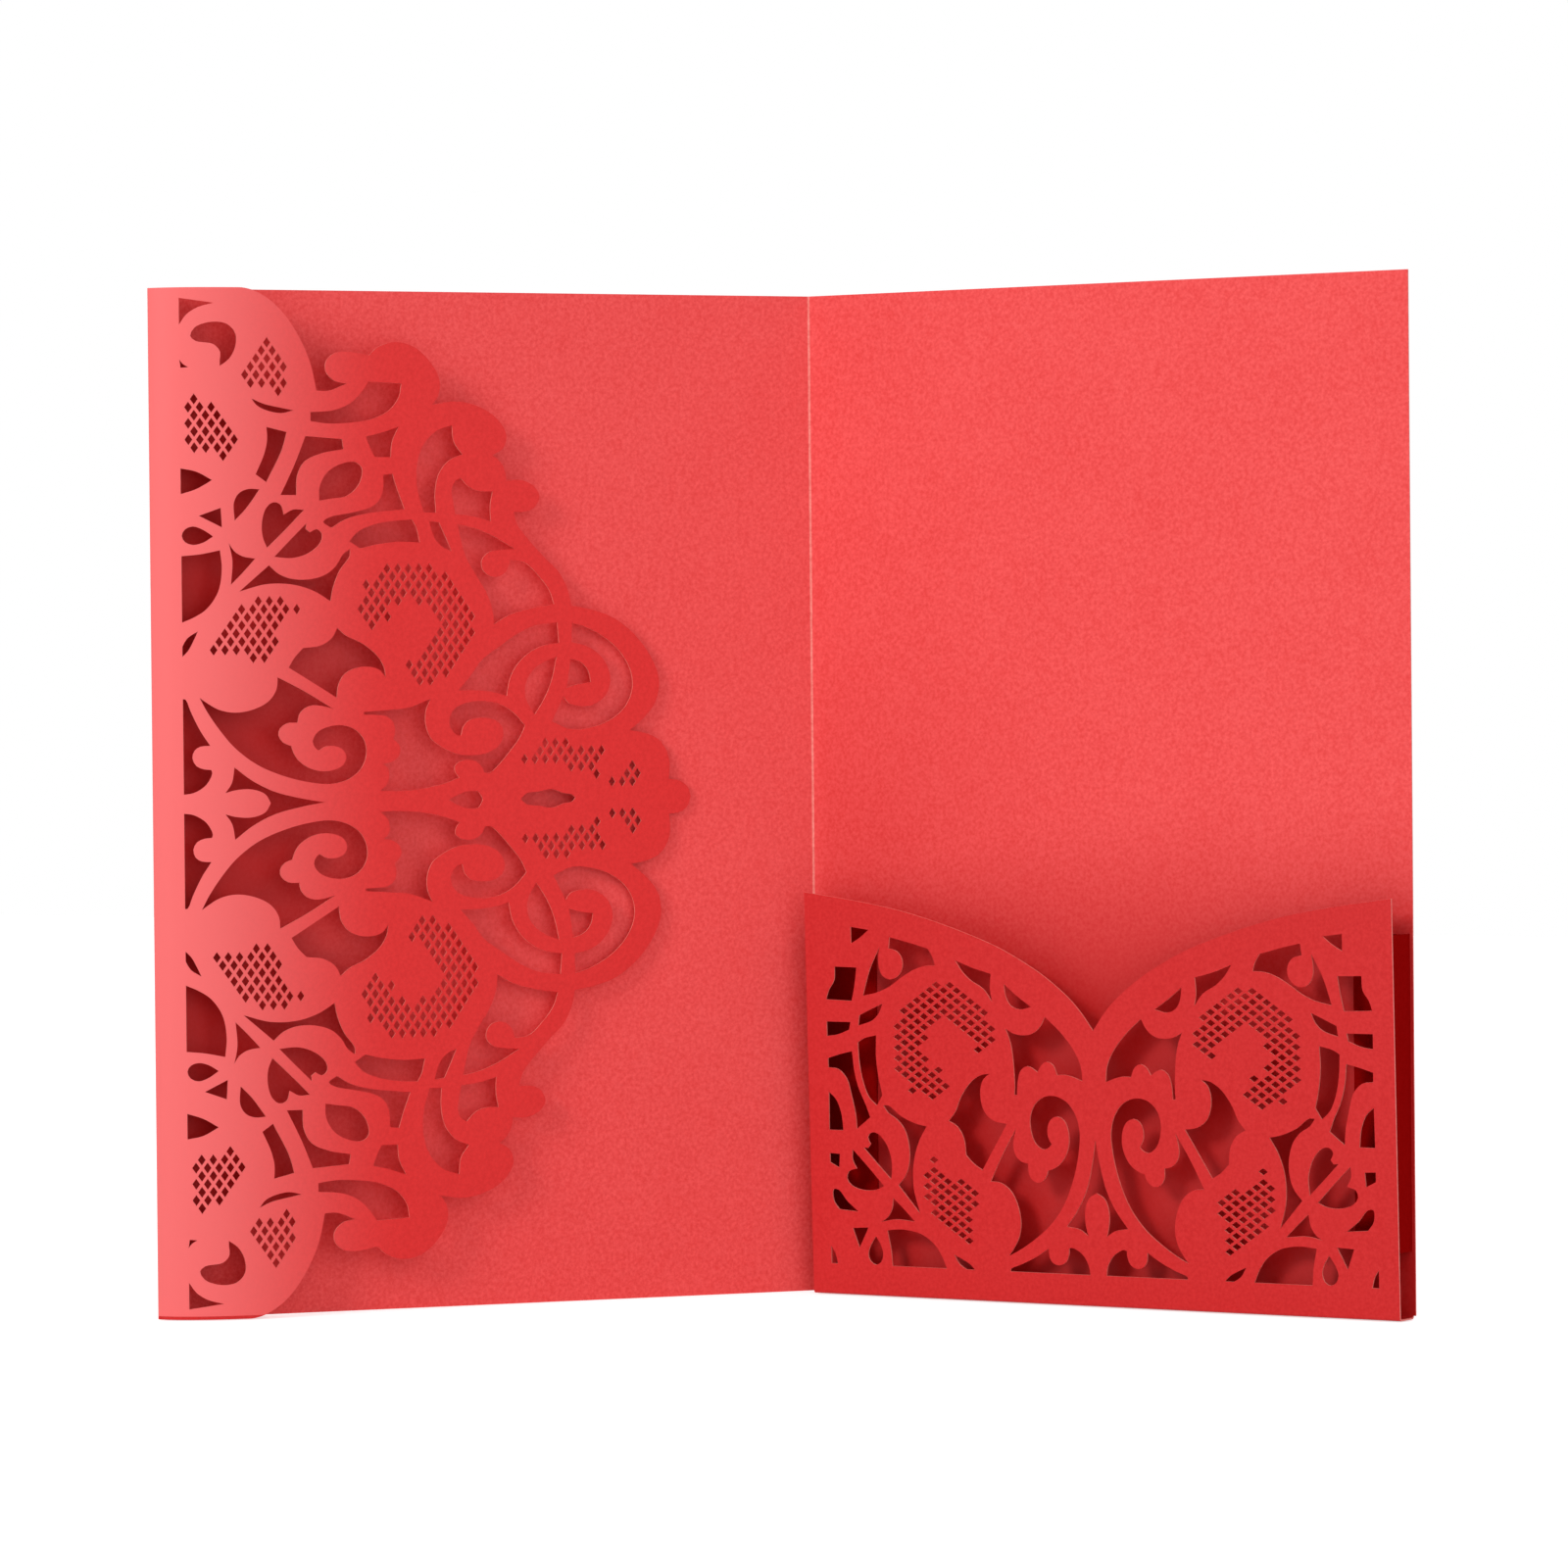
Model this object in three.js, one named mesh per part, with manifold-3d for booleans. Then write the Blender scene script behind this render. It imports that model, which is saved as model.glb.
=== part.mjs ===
// A pocket invitation card, laser cut and folded from one sheet of pearl card.
// From left to right the sheet is a lace flap, a left panel, a right panel and, below the
// right panel, a pocket with a lace front. The card stands like an open book on its lower
// edges. X runs along the right panel, Z is up, and the origin is the middle of the space
// that the card takes up on the table. All sizes are in millimetres.

import * as THREE from "three";
import { mergeGeometries, mergeVertices } from "three/addons/utils/BufferGeometryUtils.js";
import Module from "manifold-3d";

const wasm = await Module();
wasm.setup();
const { Manifold, Mesh } = wasm;

// Sheet and panels.
const SHEET = 0.3;
const HEIGHT = 185;
const LEFT_WIDTH = 127;
const RIGHT_WIDTH = 125;
const OPENING_DEGREES = 126.4;
const FOLD_RADIUS = 0.45;

// Flap: how far it reaches from its fold, and how it springs off the left panel.
const FLAP_REACH = 104;
const FLAP_SPRING_DEGREES = 52;
const FLAP_SPRING_LENGTH = 9;
const FLAP_TIP_GAP = 0.5;

// Pocket: a front leaf a little narrower than the panel, a flat base and two glued side tabs.
const POCKET_WIDTH = 122;
const POCKET_INSET = 2.5;
const POCKET_HEIGHT = 74.5;
const POCKET_DEPTH = 5;
const POCKET_LEAN = 0.03;
const TAB_WIDTH = 11;
const TAB_START = 12;
const TAB_END = 68;
const JOIN_INSET = 0.1;

// Lace: the drawing's own reach, half height and half pocket width, and its smoothing.
const DRAWN_REACH = 104;
const DRAWN_HALF = 92.5;
const DRAWN_POCKET_HALF = 61;
const DRAWN_POCKET_HEIGHT = 74.5;
const POCKET_MOTIF_RISE = 0.95;
const POCKET_MOTIF_WIDTH = 0.985;
const CURVE_STEP = 3.0;
const NET_PITCH = 3.7;
const NET_ROW = 2.55;
const NET_GAP = 0.58;

// A lace outline is a list of points: distance from the fold, distance from the middle line,
// and a third entry where the outline has a corner.
const CORNER = 1;

// Windows of the motif that flap and pocket share, drawn on one side of the middle line.
const motif = {
  spandrel: [
    [5.7, 1.7, CORNER], [7.5, 2.0], [9.7, 3.4], [10.8, 5.5], [10.6, 6.1, CORNER], [9.4, 6.2],
    [8.0, 6.8], [7.3, 8.2], [7.7, 9.6], [8.8, 10.3], [10.5, 10.4, CORNER], [8.8, 13.0],
    [7.1, 16.5], [6.2, 18.7], [5.7, 18.8, CORNER],
  ],
  scrollRoom: [
    [8.7, 19.0, CORNER], [10.0, 16.5], [12.2, 13.2], [15.0, 9.9], [19.0, 6.9], [24.0, 4.8],
    [29.0, 3.6], [33.0, 3.3], [36.2, 4.1], [38.6, 5.9], [39.7, 8.5], [39.4, 10.9],
    [37.9, 12.8], [35.4, 13.8], [32.4, 13.6], [30.3, 12.6], [29.4, 11.0], [29.9, 9.8],
    [30.5, 9.3, CORNER], [31.7, 10.0], [33.6, 10.1], [35.2, 9.4], [35.8, 8.0], [35.1, 6.6],
    [33.4, 5.8], [31.0, 5.6], [28.5, 6.3], [26.6, 7.7], [25.6, 9.4], [25.4, 10.2, CORNER],
    [23.9, 10.8], [23.0, 12.1], [23.3, 13.4], [24.6, 14.3], [26.6, 14.4, CORNER],
    [26.9, 15.8], [28.0, 17.0], [29.6, 17.5], [31.5, 17.3], [33.4, 16.8, CORNER],
    [28.0, 20.0], [22.9, 22.6, CORNER], [22.7, 20.5], [21.3, 18.4], [18.5, 16.9],
    [15.0, 16.3], [12.0, 16.9], [9.8, 18.2],
  ],
  stemRoom: [
    [25.0, 24.3, CORNER], [26.2, 26.2], [27.8, 27.8, CORNER], [31.0, 28.2], [33.3, 29.6],
    [34.3, 31.4, CORNER], [36.0, 30.0], [39.2, 28.5], [42.0, 26.3], [43.3, 24.2],
    [43.6, 22.3, CORNER], [42.6, 23.6], [40.8, 24.3], [38.0, 24.2], [35.8, 23.2],
    [34.5, 21.3], [34.1, 18.8, CORNER],
  ],
  leafRoom: [
    [16.0, 38.0, CORNER], [21.0, 39.3], [26.0, 39.2], [30.0, 38.0], [33.1, 36.2, CORNER],
    [33.6, 38.6], [34.9, 41.7], [36.9, 44.4], [36.9, 45.6, CORNER], [35.5, 44.6],
    [34.3, 42.7], [32.4, 41.1], [29.5, 40.2], [26.0, 40.2], [23.4, 41.1],
    [21.5, 42.7, CORNER], [18.8, 40.4],
  ],
  stemFoot: [
    [14.5, 39.2, CORNER], [16.8, 41.5], [19.0, 43.9, CORNER], [16.7, 44.3], [15.1, 45.3],
    [14.2, 46.7, CORNER], [14.8, 43.5],
  ],
  budInner: [
    [21.2, 45.8, CORNER], [20.4, 47.8], [20.3, 50.5], [21.1, 53.0], [22.4, 54.0],
    [23.8, 53.6], [24.4, 51.8, CORNER], [26.2, 52.7], [28.2, 52.6, CORNER], [25.0, 49.4],
  ],
  budOuter: [
    [22.5, 44.2, CORNER], [26.0, 44.0], [29.2, 45.0], [31.3, 46.8], [31.6, 48.3],
    [30.6, 49.2], [29.3, 48.6, CORNER], [28.5, 49.2, CORNER], [28.6, 50.2, CORNER],
    [25.5, 47.2],
  ],
  smallTriangle: [
    [13.0, 49.5, CORNER], [12.8, 53.0, CORNER], [8.9, 51.6, CORNER],
  ],
  drop: [
    [11.4, 47.9, CORNER], [9.6, 46.8], [7.8, 46.4], [6.4, 46.9], [5.8, 48.0], [6.4, 49.2],
    [7.8, 49.7], [9.6, 49.1],
  ],
  baseWindow: [
    [5.7, 44.4, CORNER], [9.0, 44.7], [12.6, 45.4, CORNER], [12.9, 42.0], [12.2, 38.0],
    [10.2, 35.0], [8.0, 33.5], [5.7, 32.5, CORNER],
  ],
  sliver: [
    [5.7, 26.4, CORNER], [5.7, 28.2, CORNER], [6.6, 29.7], [8.5, 30.9, CORNER],
    [7.5, 28.8], [6.7, 27.4],
  ],
  ringBand: [
    [36.8, 47.0, CORNER], [38.4, 48.7], [41.5, 50.0], [45.3, 50.7], [49.0, 50.9, CORNER],
    [49.8, 49.6], [50.5, 46.8, CORNER], [46.0, 46.9], [42.0, 46.4], [38.9, 45.7, CORNER],
  ],
  ringCorner: [
    [52.3, 50.7, CORNER], [54.3, 50.4, CORNER], [55.5, 47.9], [56.7, 45.2, CORNER],
    [54.9, 46.0], [53.4, 47.5],
  ],
};

// Windows that only the flap has, drawn on one side of the middle line.
const flapOnly = {
  cornerTriangle: [
    [5.7, 90.6, CORNER], [11.9, 89.7, CORNER], [9.0, 88.9], [7.0, 87.6], [5.7, 85.8, CORNER],
  ],
  comma: [
    [8.6, 82.9], [7.7, 83.8], [8.5, 85.3], [11.5, 86.3], [14.3, 85.9], [15.8, 84.2],
    [15.7, 81.7], [14.6, 79.7], [12.9, 78.4, CORNER], [12.9, 79.5], [13.0, 80.9],
    [11.8, 82.3],
  ],
  speck: [
    [5.7, 79.6, CORNER], [6.3, 78.8], [7.3, 78.2, CORNER], [5.9, 78.1, CORNER],
  ],
  sideTriangle: [
    [5.7, 60.1, CORNER], [8.5, 59.5], [11.3, 58.0, CORNER], [8.5, 56.4], [5.7, 55.5, CORNER],
  ],
  cornerSlit: [
    [18.6, 72.6, CORNER], [20.7, 71.7], [26.4, 70.5, CORNER], [24.0, 70.0], [21.0, 70.6],
    [19.4, 71.5],
  ],
  sideQuad: [
    [21.3, 67.5, CORNER], [25.1, 66.6, CORNER], [24.2, 63.5], [21.2, 57.6, CORNER],
    [19.2, 59.0, CORNER], [20.8, 62.6], [21.4, 65.2],
  ],
  leafWindow: [
    [15.3, 50.7, CORNER], [15.2, 54.0], [16.2, 55.7], [18.0, 56.4], [19.9, 56.3, CORNER],
    [17.5, 53.0],
  ],
  archWindow: [
    [23.8, 55.3, CORNER], [26.5, 60.8], [28.6, 65.9, CORNER], [35.6, 65.4, CORNER],
    [35.9, 63.6, CORNER], [31.6, 62.8], [28.4, 61.3], [27.0, 58.8], [26.8, 55.3, CORNER],
  ],
  curlWindow: [
    [31.1, 54.3, CORNER], [31.2, 56.8], [32.7, 59.4], [35.0, 60.8], [38.0, 61.3],
    [39.4, 60.2], [39.2, 58.2], [38.1, 56.4], [36.2, 55.1], [33.6, 54.7],
  ],
  keyWindow: [
    [40.2, 65.9, CORNER], [43.2, 66.6], [46.6, 67.7, CORNER], [45.3, 65.0],
    [45.0, 62.2, CORNER], [41.9, 62.2, CORNER], [41.0, 63.8],
  ],
  sweepWindow: [
    [29.6, 70.2, CORNER], [34.0, 70.6], [37.3, 71.9], [39.4, 73.9], [40.8, 75.8, CORNER],
    [47.2, 75.5, CORNER], [46.7, 73.1], [44.8, 70.7], [41.5, 69.1], [37.5, 68.4],
    [33.0, 68.2], [29.6, 68.6, CORNER],
  ],
  petalRoom: [
    [47.6, 52.8, CORNER], [46.2, 56.4], [45.3, 59.2, CORNER], [43.5, 59.0, CORNER],
    [43.4, 56.2], [42.4, 54.1], [40.4, 52.9], [37.0, 52.1], [33.0, 51.3], [31.8, 50.5],
    [33.4, 49.4, CORNER], [36.0, 50.9], [39.6, 51.9],
  ],
  crescent: [
    [51.3, 52.2, CORNER], [50.2, 56.0], [50.0, 60.4], [51.1, 64.0], [53.6, 66.8],
    [57.0, 68.1, CORNER], [57.4, 65.0], [59.0, 62.8, CORNER], [56.4, 61.7], [54.4, 59.3],
    [53.6, 56.0], [53.7, 52.2, CORNER],
  ],
  cheek: [
    [57.0, 54.6, CORNER], [56.8, 56.4], [57.6, 58.0], [58.6, 58.5, CORNER], [60.4, 56.8],
    [62.4, 56.1], [64.9, 56.1, CORNER], [64.4, 53.4], [64.5, 50.6, CORNER], [61.5, 51.4],
    [57.5, 51.9, CORNER],
  ],
  loopRoom: [
    [57.9, 50.1, CORNER], [61.5, 49.3], [65.0, 47.9], [69.2, 45.6, CORNER], [66.2, 45.4],
    [64.0, 45.0], [62.6, 43.5], [62.9, 41.7], [64.4, 40.6], [66.5, 40.8], [67.7, 42.0],
    [68.2, 43.6, CORNER], [71.0, 43.2], [73.8, 40.8], [76.0, 38.0], [76.9, 35.5, CORNER],
    [72.0, 34.7], [68.0, 33.6], [64.9, 31.9, CORNER], [64.6, 34.6], [63.3, 38.0],
    [61.2, 41.2], [59.3, 44.6],
  ],
  ringOutside: [
    [57.7, 19.9, CORNER], [60.2, 22.6], [62.4, 25.4], [66.0, 27.9], [69.6, 30.2],
    [73.2, 31.7], [77.5, 32.2, CORNER], [77.8, 28.4, CORNER], [74.8, 28.0], [71.9, 26.7],
    [69.5, 24.6], [68.0, 22.0], [67.3, 18.8, CORNER], [64.8, 19.5], [61.3, 19.9],
  ],
  ringInside: [
    [80.4, 32.1, CORNER], [83.4, 31.2], [87.2, 29.2], [90.3, 26.4], [92.2, 23.0],
    [92.4, 19.8], [90.9, 16.6], [88.0, 14.3], [84.0, 12.9], [80.0, 12.6],
    [76.2, 14.1, CORNER], [77.5, 16.6], [78.6, 18.7, CORNER], [79.6, 17.4], [82.0, 16.8],
    [84.6, 17.1], [87.0, 18.8], [88.0, 21.5], [87.3, 24.3], [85.4, 26.6], [83.0, 27.9],
    [80.3, 28.5, CORNER],
  ],
  ringPetal: [
    [77.3, 25.9, CORNER], [74.8, 25.0], [72.3, 23.3], [71.0, 20.9], [71.1, 18.2],
    [72.8, 15.3, CORNER], [74.8, 18.3], [76.3, 21.7],
  ],
  ringQuarter: [
    [80.0, 25.6, CORNER], [82.2, 24.8], [83.6, 23.3], [84.1, 21.2, CORNER], [81.2, 20.8],
    [79.2, 20.2, CORNER], [79.7, 23.0],
  ],
  centreRoom: [
    [39.3, 16.2, CORNER], [44.0, 16.5], [48.0, 16.9], [52.3, 18.4, CORNER], [51.4, 16.4],
    [51.3, 13.8], [52.3, 11.3], [54.2, 9.8], [57.0, 8.5], [60.0, 8.1], [63.0, 8.4],
    [65.3, 9.5], [66.5, 11.4], [66.3, 13.2], [64.8, 14.5], [62.0, 14.9], [59.7, 14.4],
    [58.5, 13.0], [58.2, 11.7], [57.2, 11.9], [56.1, 13.2], [56.0, 15.0], [57.1, 16.7],
    [59.5, 17.7], [63.0, 17.9], [66.2, 17.2], [68.7, 15.7], [70.9, 13.4, CORNER],
    [69.9, 11.3], [67.8, 8.7], [65.6, 6.3], [63.9, 4.9], [62.7, 4.9, CORNER], [62.2, 6.0],
    [61.2, 6.9], [59.6, 7.3], [57.9, 7.0], [56.9, 6.1], [57.1, 4.9], [57.8, 4.1, CORNER],
    [55.0, 3.1], [50.0, 2.1], [45.5, 1.8], [42.3, 1.9, CORNER], [43.7, 3.2], [44.1, 4.7],
    [43.8, 6.0], [42.8, 6.8, CORNER], [44.8, 7.2], [46.0, 8.2], [46.3, 9.5], [45.7, 10.6],
    [44.9, 11.2, CORNER], [45.3, 12.7], [45.0, 14.2], [43.8, 15.3], [42.0, 15.6],
    [39.3, 15.7, CORNER],
  ],
};

// Windows that only the pocket has, drawn on one side of its middle line.
const pocketOnly = {
  vRoom: [
    [40.8, 2.4, CORNER], [43.5, 2.7], [46.4, 4.1], [49.5, 6.7], [52.4, 10.0, CORNER],
    [50.5, 11.1], [49.2, 12.8], [48.9, 15.0], [49.3, 17.0], [50.1, 18.4, CORNER],
    [47.5, 17.4], [44.0, 16.9], [40.0, 16.7], [38.0, 16.8, CORNER], [38.0, 16.2, CORNER],
    [40.5, 16.0], [42.5, 15.3], [43.3, 14.0], [42.9, 12.8], [42.2, 11.8, CORNER],
    [43.5, 11.0], [44.2, 9.8], [43.6, 8.5], [41.8, 7.7, CORNER], [41.9, 6.2],
    [41.6, 4.6],
  ],
  vDrop: [
    [54.1, 12.8, CORNER], [55.8, 15.4], [58.2, 18.5, CORNER], [56.0, 18.2], [54.3, 17.2],
    [53.6, 15.4],
  ],
  vTriangle: [
    [60.0, 21.2, CORNER], [61.0, 25.0], [62.4, 28.8, CORNER], [60.3, 27.3], [58.7, 25.5],
    [57.2, 22.9], [54.8, 21.0, CORNER], [57.2, 21.4],
  ],
  lobeRoom: [
    [61.3, 33.0, CORNER], [62.8, 33.5], [64.4, 34.5, CORNER], [65.4, 38.3],
    [66.4, 42.7, CORNER], [64.3, 43.0, CORNER], [63.8, 41.2], [62.3, 40.1], [60.5, 40.2],
    [59.1, 41.3], [58.6, 42.9], [59.3, 44.4], [60.7, 45.1], [62.5, 45.2],
    [64.6, 44.9, CORNER], [60.5, 47.1], [55.5, 48.8, CORNER], [56.2, 45.6], [57.4, 42.8],
    [59.1, 40.2], [60.5, 37.6], [61.2, 35.3],
  ],
  topTriangle: [
    [67.7, 47.2, CORNER], [68.2, 51.1, CORNER], [65.1, 51.1, CORNER], [66.3, 49.0],
  ],
  sideWindow: [
    [60.7, 50.0, CORNER], [60.8, 54.8, CORNER], [58.2, 55.0], [56.4, 56.2],
    [54.7, 56.8, CORNER], [54.5, 51.2, CORNER], [57.5, 50.5],
  ],
  sideBar: [
    [50.6, 51.6, CORNER], [50.6, 56.8, CORNER], [47.9, 56.8, CORNER], [48.3, 54.3],
    [49.2, 51.9, CORNER],
  ],
  sideSlot: [
    [45.2, 51.4, CORNER], [44.6, 54.0], [43.8, 56.7, CORNER], [42.1, 56.7, CORNER],
    [41.8, 54.5], [40.0, 52.7], [37.0, 51.8], [33.5, 51.0], [30.8, 50.8, CORNER],
    [32.0, 49.2], [33.1, 47.8, CORNER], [35.4, 48.7], [38.3, 50.1], [41.6, 51.0],
  ],
  sideCurl: [
    [30.5, 53.7, CORNER], [30.5, 56.8, CORNER], [37.6, 56.7, CORNER], [36.3, 55.2],
    [33.8, 54.1],
  ],
  sideStub: [
    [26.1, 54.6, CORNER], [26.2, 56.8, CORNER], [24.5, 56.8, CORNER], [23.5, 54.8, CORNER],
  ],
  sideLeaf: [
    [15.5, 50.8, CORNER], [17.4, 53.2], [19.4, 55.0], [19.5, 56.2], [17.4, 56.2],
    [15.8, 55.0, CORNER],
  ],
  footSliver: [
    [5.7, 55.6, CORNER], [7.6, 56.1], [9.0, 57.0, CORNER], [5.7, 57.0, CORNER],
  ],
};

// Windows that lie on the middle line: one side is drawn, from the middle line and back to it.
const petalRoom = [
  [31.6, 0.0, CORNER], [27.0, 0.8], [22.0, 2.1], [18.0, 4.1], [14.8, 6.5, CORNER],
  [14.3, 3.7], [13.1, 1.9, CORNER], [15.0, 2.4], [18.0, 2.5], [20.4, 1.6], [21.4, 0.0],
];
const smallLens = [
  [55.6, 0.0, CORNER], [57.6, 1.0], [59.8, 1.6], [61.6, 1.4], [62.4, 0.0],
];
const longLens = [
  [69.9, 0.0, CORNER], [71.0, 1.0], [73.5, 1.3], [76.0, 1.7], [78.5, 0.9], [80.0, 0.7],
  [80.8, 0.0],
];

// Net patches: each is the area that is cut through by staggered diamonds.
const sideNet = [
  [5.8, 74.2], [9.2, 73.8], [13.0, 71.6], [15.6, 68.8], [16.4, 65.5], [16.0, 61.8],
  [13.4, 59.6], [11.0, 61.9], [8.2, 62.8], [5.8, 63.2],
];
const cornerNet = [
  [14.4, 75.6], [17.5, 78.4], [19.4, 82.3], [19.8, 85.6], [22.6, 82.6], [25.2, 79.4],
  [26.5, 76.0], [26.2, 73.2], [22.5, 72.8], [18.0, 74.0],
];
const leafNet = [
  [7.4, 22.6], [9.8, 25.6], [15.0, 26.2], [20.2, 24.4], [22.0, 24.8], [24.4, 27.9],
  [23.0, 30.5], [24.2, 32.0], [29.6, 33.8], [27.2, 36.2], [22.0, 38.0], [16.0, 36.6],
  [13.2, 33.2], [10.4, 28.8], [7.2, 24.2],
];
const flowerNet = [
  [39.6, 30.4], [37.6, 34.6], [38.8, 39.6], [43.2, 43.0], [49.0, 44.2], [54.6, 42.4],
  [59.0, 38.4], [61.4, 33.6], [61.2, 28.4], [59.0, 24.6], [54.6, 21.6], [49.6, 19.4],
  [45.8, 18.6], [48.0, 22.0], [45.4, 26.6], [49.0, 26.2], [51.8, 28.0], [53.0, 31.0],
  [52.0, 34.0], [49.0, 35.8], [45.4, 34.8], [44.2, 31.8],
];
const crestNet = [
  [67.4, 2.9], [70.0, 7.6], [74.0, 11.4], [87.8, 10.8], [85.4, 4.6], [90.4, 4.9],
  [92.6, 8.0], [95.0, 6.4], [93.0, 2.0], [88.0, 1.0], [84.6, 3.4], [79.4, 4.2],
  [77.0, 6.2], [72.0, 6.0],
];

// The flap's free edge, drawn on one side from the fold's corner to the middle of the tip.
const flapEdge = [
  [0.0, 92.5, CORNER], [9.0, 92.5], [17.6, 92.4], [20.6, 91.3], [24.0, 88.7], [27.2, 84.4],
  [29.6, 79.2], [30.8, 74.1, CORNER], [33.2, 74.1], [36.6, 75.4, CORNER], [34.2, 75.9],
  [32.6, 77.6], [32.7, 79.4], [34.4, 80.9], [37.4, 81.1], [40.9, 80.5, CORNER],
  [42.6, 82.0], [46.0, 83.0], [49.8, 82.1], [53.0, 79.3], [54.7, 75.9], [54.3, 73.3],
  [53.1, 71.7, CORNER], [57.6, 72.4], [62.2, 71.5], [65.9, 69.3], [67.7, 66.4],
  [67.0, 63.9], [64.9, 62.7, CORNER], [66.5, 61.4], [67.5, 59.4], [67.6, 58.0, CORNER],
  [70.4, 58.2], [73.0, 57.1], [74.2, 55.2], [72.9, 53.0], [70.8, 52.4],
  [69.0, 52.4, CORNER], [69.6, 50.2], [72.0, 47.2], [75.2, 43.9], [78.0, 41.2],
  [79.7, 37.9], [80.3, 35.2, CORNER], [84.8, 34.4], [89.4, 32.6], [93.4, 29.4],
  [96.4, 25.4], [97.8, 21.4], [97.1, 17.6], [95.0, 14.9], [91.8, 12.3, CORNER],
  [94.6, 11.8], [97.2, 10.8], [99.0, 8.8], [99.8, 6.2], [99.6, 3.2, CORNER], [101.8, 2.9],
  [103.4, 1.7], [104.0, 0.0],
];

// The pocket's upper edge, drawn on one side: height above the table, and distance from the
// middle line.
const pocketEdge = [
  [50.0, 0.0, CORNER], [53.3, 2.5], [55.9, 5.0], [59.7, 10.0], [62.6, 15.0], [65.0, 20.0],
  [68.5, 30.0], [71.2, 40.0], [73.0, 50.0], [74.5, 61.0, CORNER],
];

// Points along an outline, smooth between its corners.
function trace(outline, closed) {
  const points = outline.map(([a, b]) => new THREE.Vector3(a, b, 0));
  const corners = outline.flatMap((entry, i) => (entry[2] === CORNER ? [i] : []));
  const count = points.length;
  const first = corners.length ? corners[0] : 0;
  const last = closed ? first + count : count - 1;
  const result = [];
  let from = closed ? first : 0;
  while (from < last) {
    let to = from + 1;
    while (to < last && outline[to % count][2] !== CORNER) {
      to += 1;
    }
    const run = [];
    for (let i = from; i <= to; i += 1) {
      run.push(points[i % count]);
    }
    const ring = closed && !corners.length;
    if (ring) {
      run.pop();
    }
    const curve = new THREE.CatmullRomCurve3(run, ring, "centripetal");
    const spans = ring ? run.length : run.length - 1;
    for (let i = 0; i < spans; i += 1) {
      const reach = run[i].distanceTo(run[(i + 1) % run.length]);
      const steps = Math.max(1, Math.round(reach / CURVE_STEP));
      for (let k = 0; k < steps; k += 1) {
        const at = run.length === 2
          ? run[0].clone().lerp(run[1], k / steps)
          : curve.getPoint((i + k / steps) / spans);
        result.push([at.x, at.y]);
      }
    }
    from = to;
  }
  if (!closed) {
    const end = points[count - 1];
    result.push([end.x, end.y]);
  }
  return result;
}

// A half outline that starts and ends on the middle line, made whole.
function mirrored(half) {
  const back = half.slice(1, -1).reverse().map(([a, b]) => [a, -b]);
  return [...half, ...back];
}

const flip = (polygon) => polygon.map(([a, b]) => [a, -b]);

function inside(polygon, a, b) {
  let hit = false;
  polygon.forEach(([a0, b0], i) => {
    const [a1, b1] = polygon[(i + 1) % polygon.length];
    if (b0 > b !== b1 > b && a < a0 + ((b - b0) / (b1 - b0)) * (a1 - a0)) {
      hit = !hit;
    }
  });
  return hit;
}

// The staggered diamonds of a net patch that fit wholly inside it.
function net(area) {
  const low = [0, 1].map((k) => Math.min(...area.map((entry) => entry[k])));
  const high = [0, 1].map((k) => Math.max(...area.map((entry) => entry[k])));
  const long = NET_ROW * NET_GAP;
  const wide = (NET_PITCH / 2) * NET_GAP;
  const diamonds = [];
  for (let row = 0; low[1] + row * NET_ROW < high[1]; row += 1) {
    const shift = row % 2 ? NET_PITCH / 2 : 0;
    for (let a = low[0] + shift; a < high[0]; a += NET_PITCH) {
      const b = low[1] + (row + 0.5) * NET_ROW;
      const diamond = [
        [a + wide, b],
        [a, b + long],
        [a - wide, b],
        [a, b - long],
      ];
      if (diamond.every(([x, y]) => inside(area, x, y))) {
        diamonds.push(diamond);
      }
    }
  }
  return diamonds;
}

// All windows of the flap and of the pocket, in their drawings.
const bothSides = (polygons) => [...polygons, ...polygons.map(flip)];
const closedTrace = (outline) => trace(outline, true);
const motifWindows = [
  ...bothSides(Object.values(motif).map(closedTrace)),
  mirrored(trace(petalRoom, false)),
];
const flapWindows = [
  ...motifWindows,
  ...bothSides(Object.values(flapOnly).map(closedTrace)),
  mirrored(trace(smallLens, false)),
  mirrored(trace(longLens, false)),
  ...bothSides([sideNet, cornerNet, leafNet, flowerNet, crestNet].flatMap(net)),
];
const pocketWindows = [
  ...[...motifWindows, ...bothSides([leafNet, flowerNet].flatMap(net))].map((polygon) =>
    polygon.map(([a, b]) => [5.7 + (a - 5.7) * POCKET_MOTIF_RISE, b * POCKET_MOTIF_WIDTH]),
  ),
  ...bothSides(Object.values(pocketOnly).map(closedTrace)),
];

// The sheet's path round the folds of the three panels, from the right panel's free edge
// leftwards: each station is a flat position, a point and a heading.
function bend(path, turn, radius) {
  const steps = Math.max(1, Math.ceil(Math.abs(turn) / (Math.PI / 4)));
  for (let i = 0; i < steps; i += 1) {
    path.turn(turn / steps / 2);
    path.go(2 * radius * Math.sin(Math.abs(turn) / steps / 2));
    path.turn(turn / steps / 2);
  }
}

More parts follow.
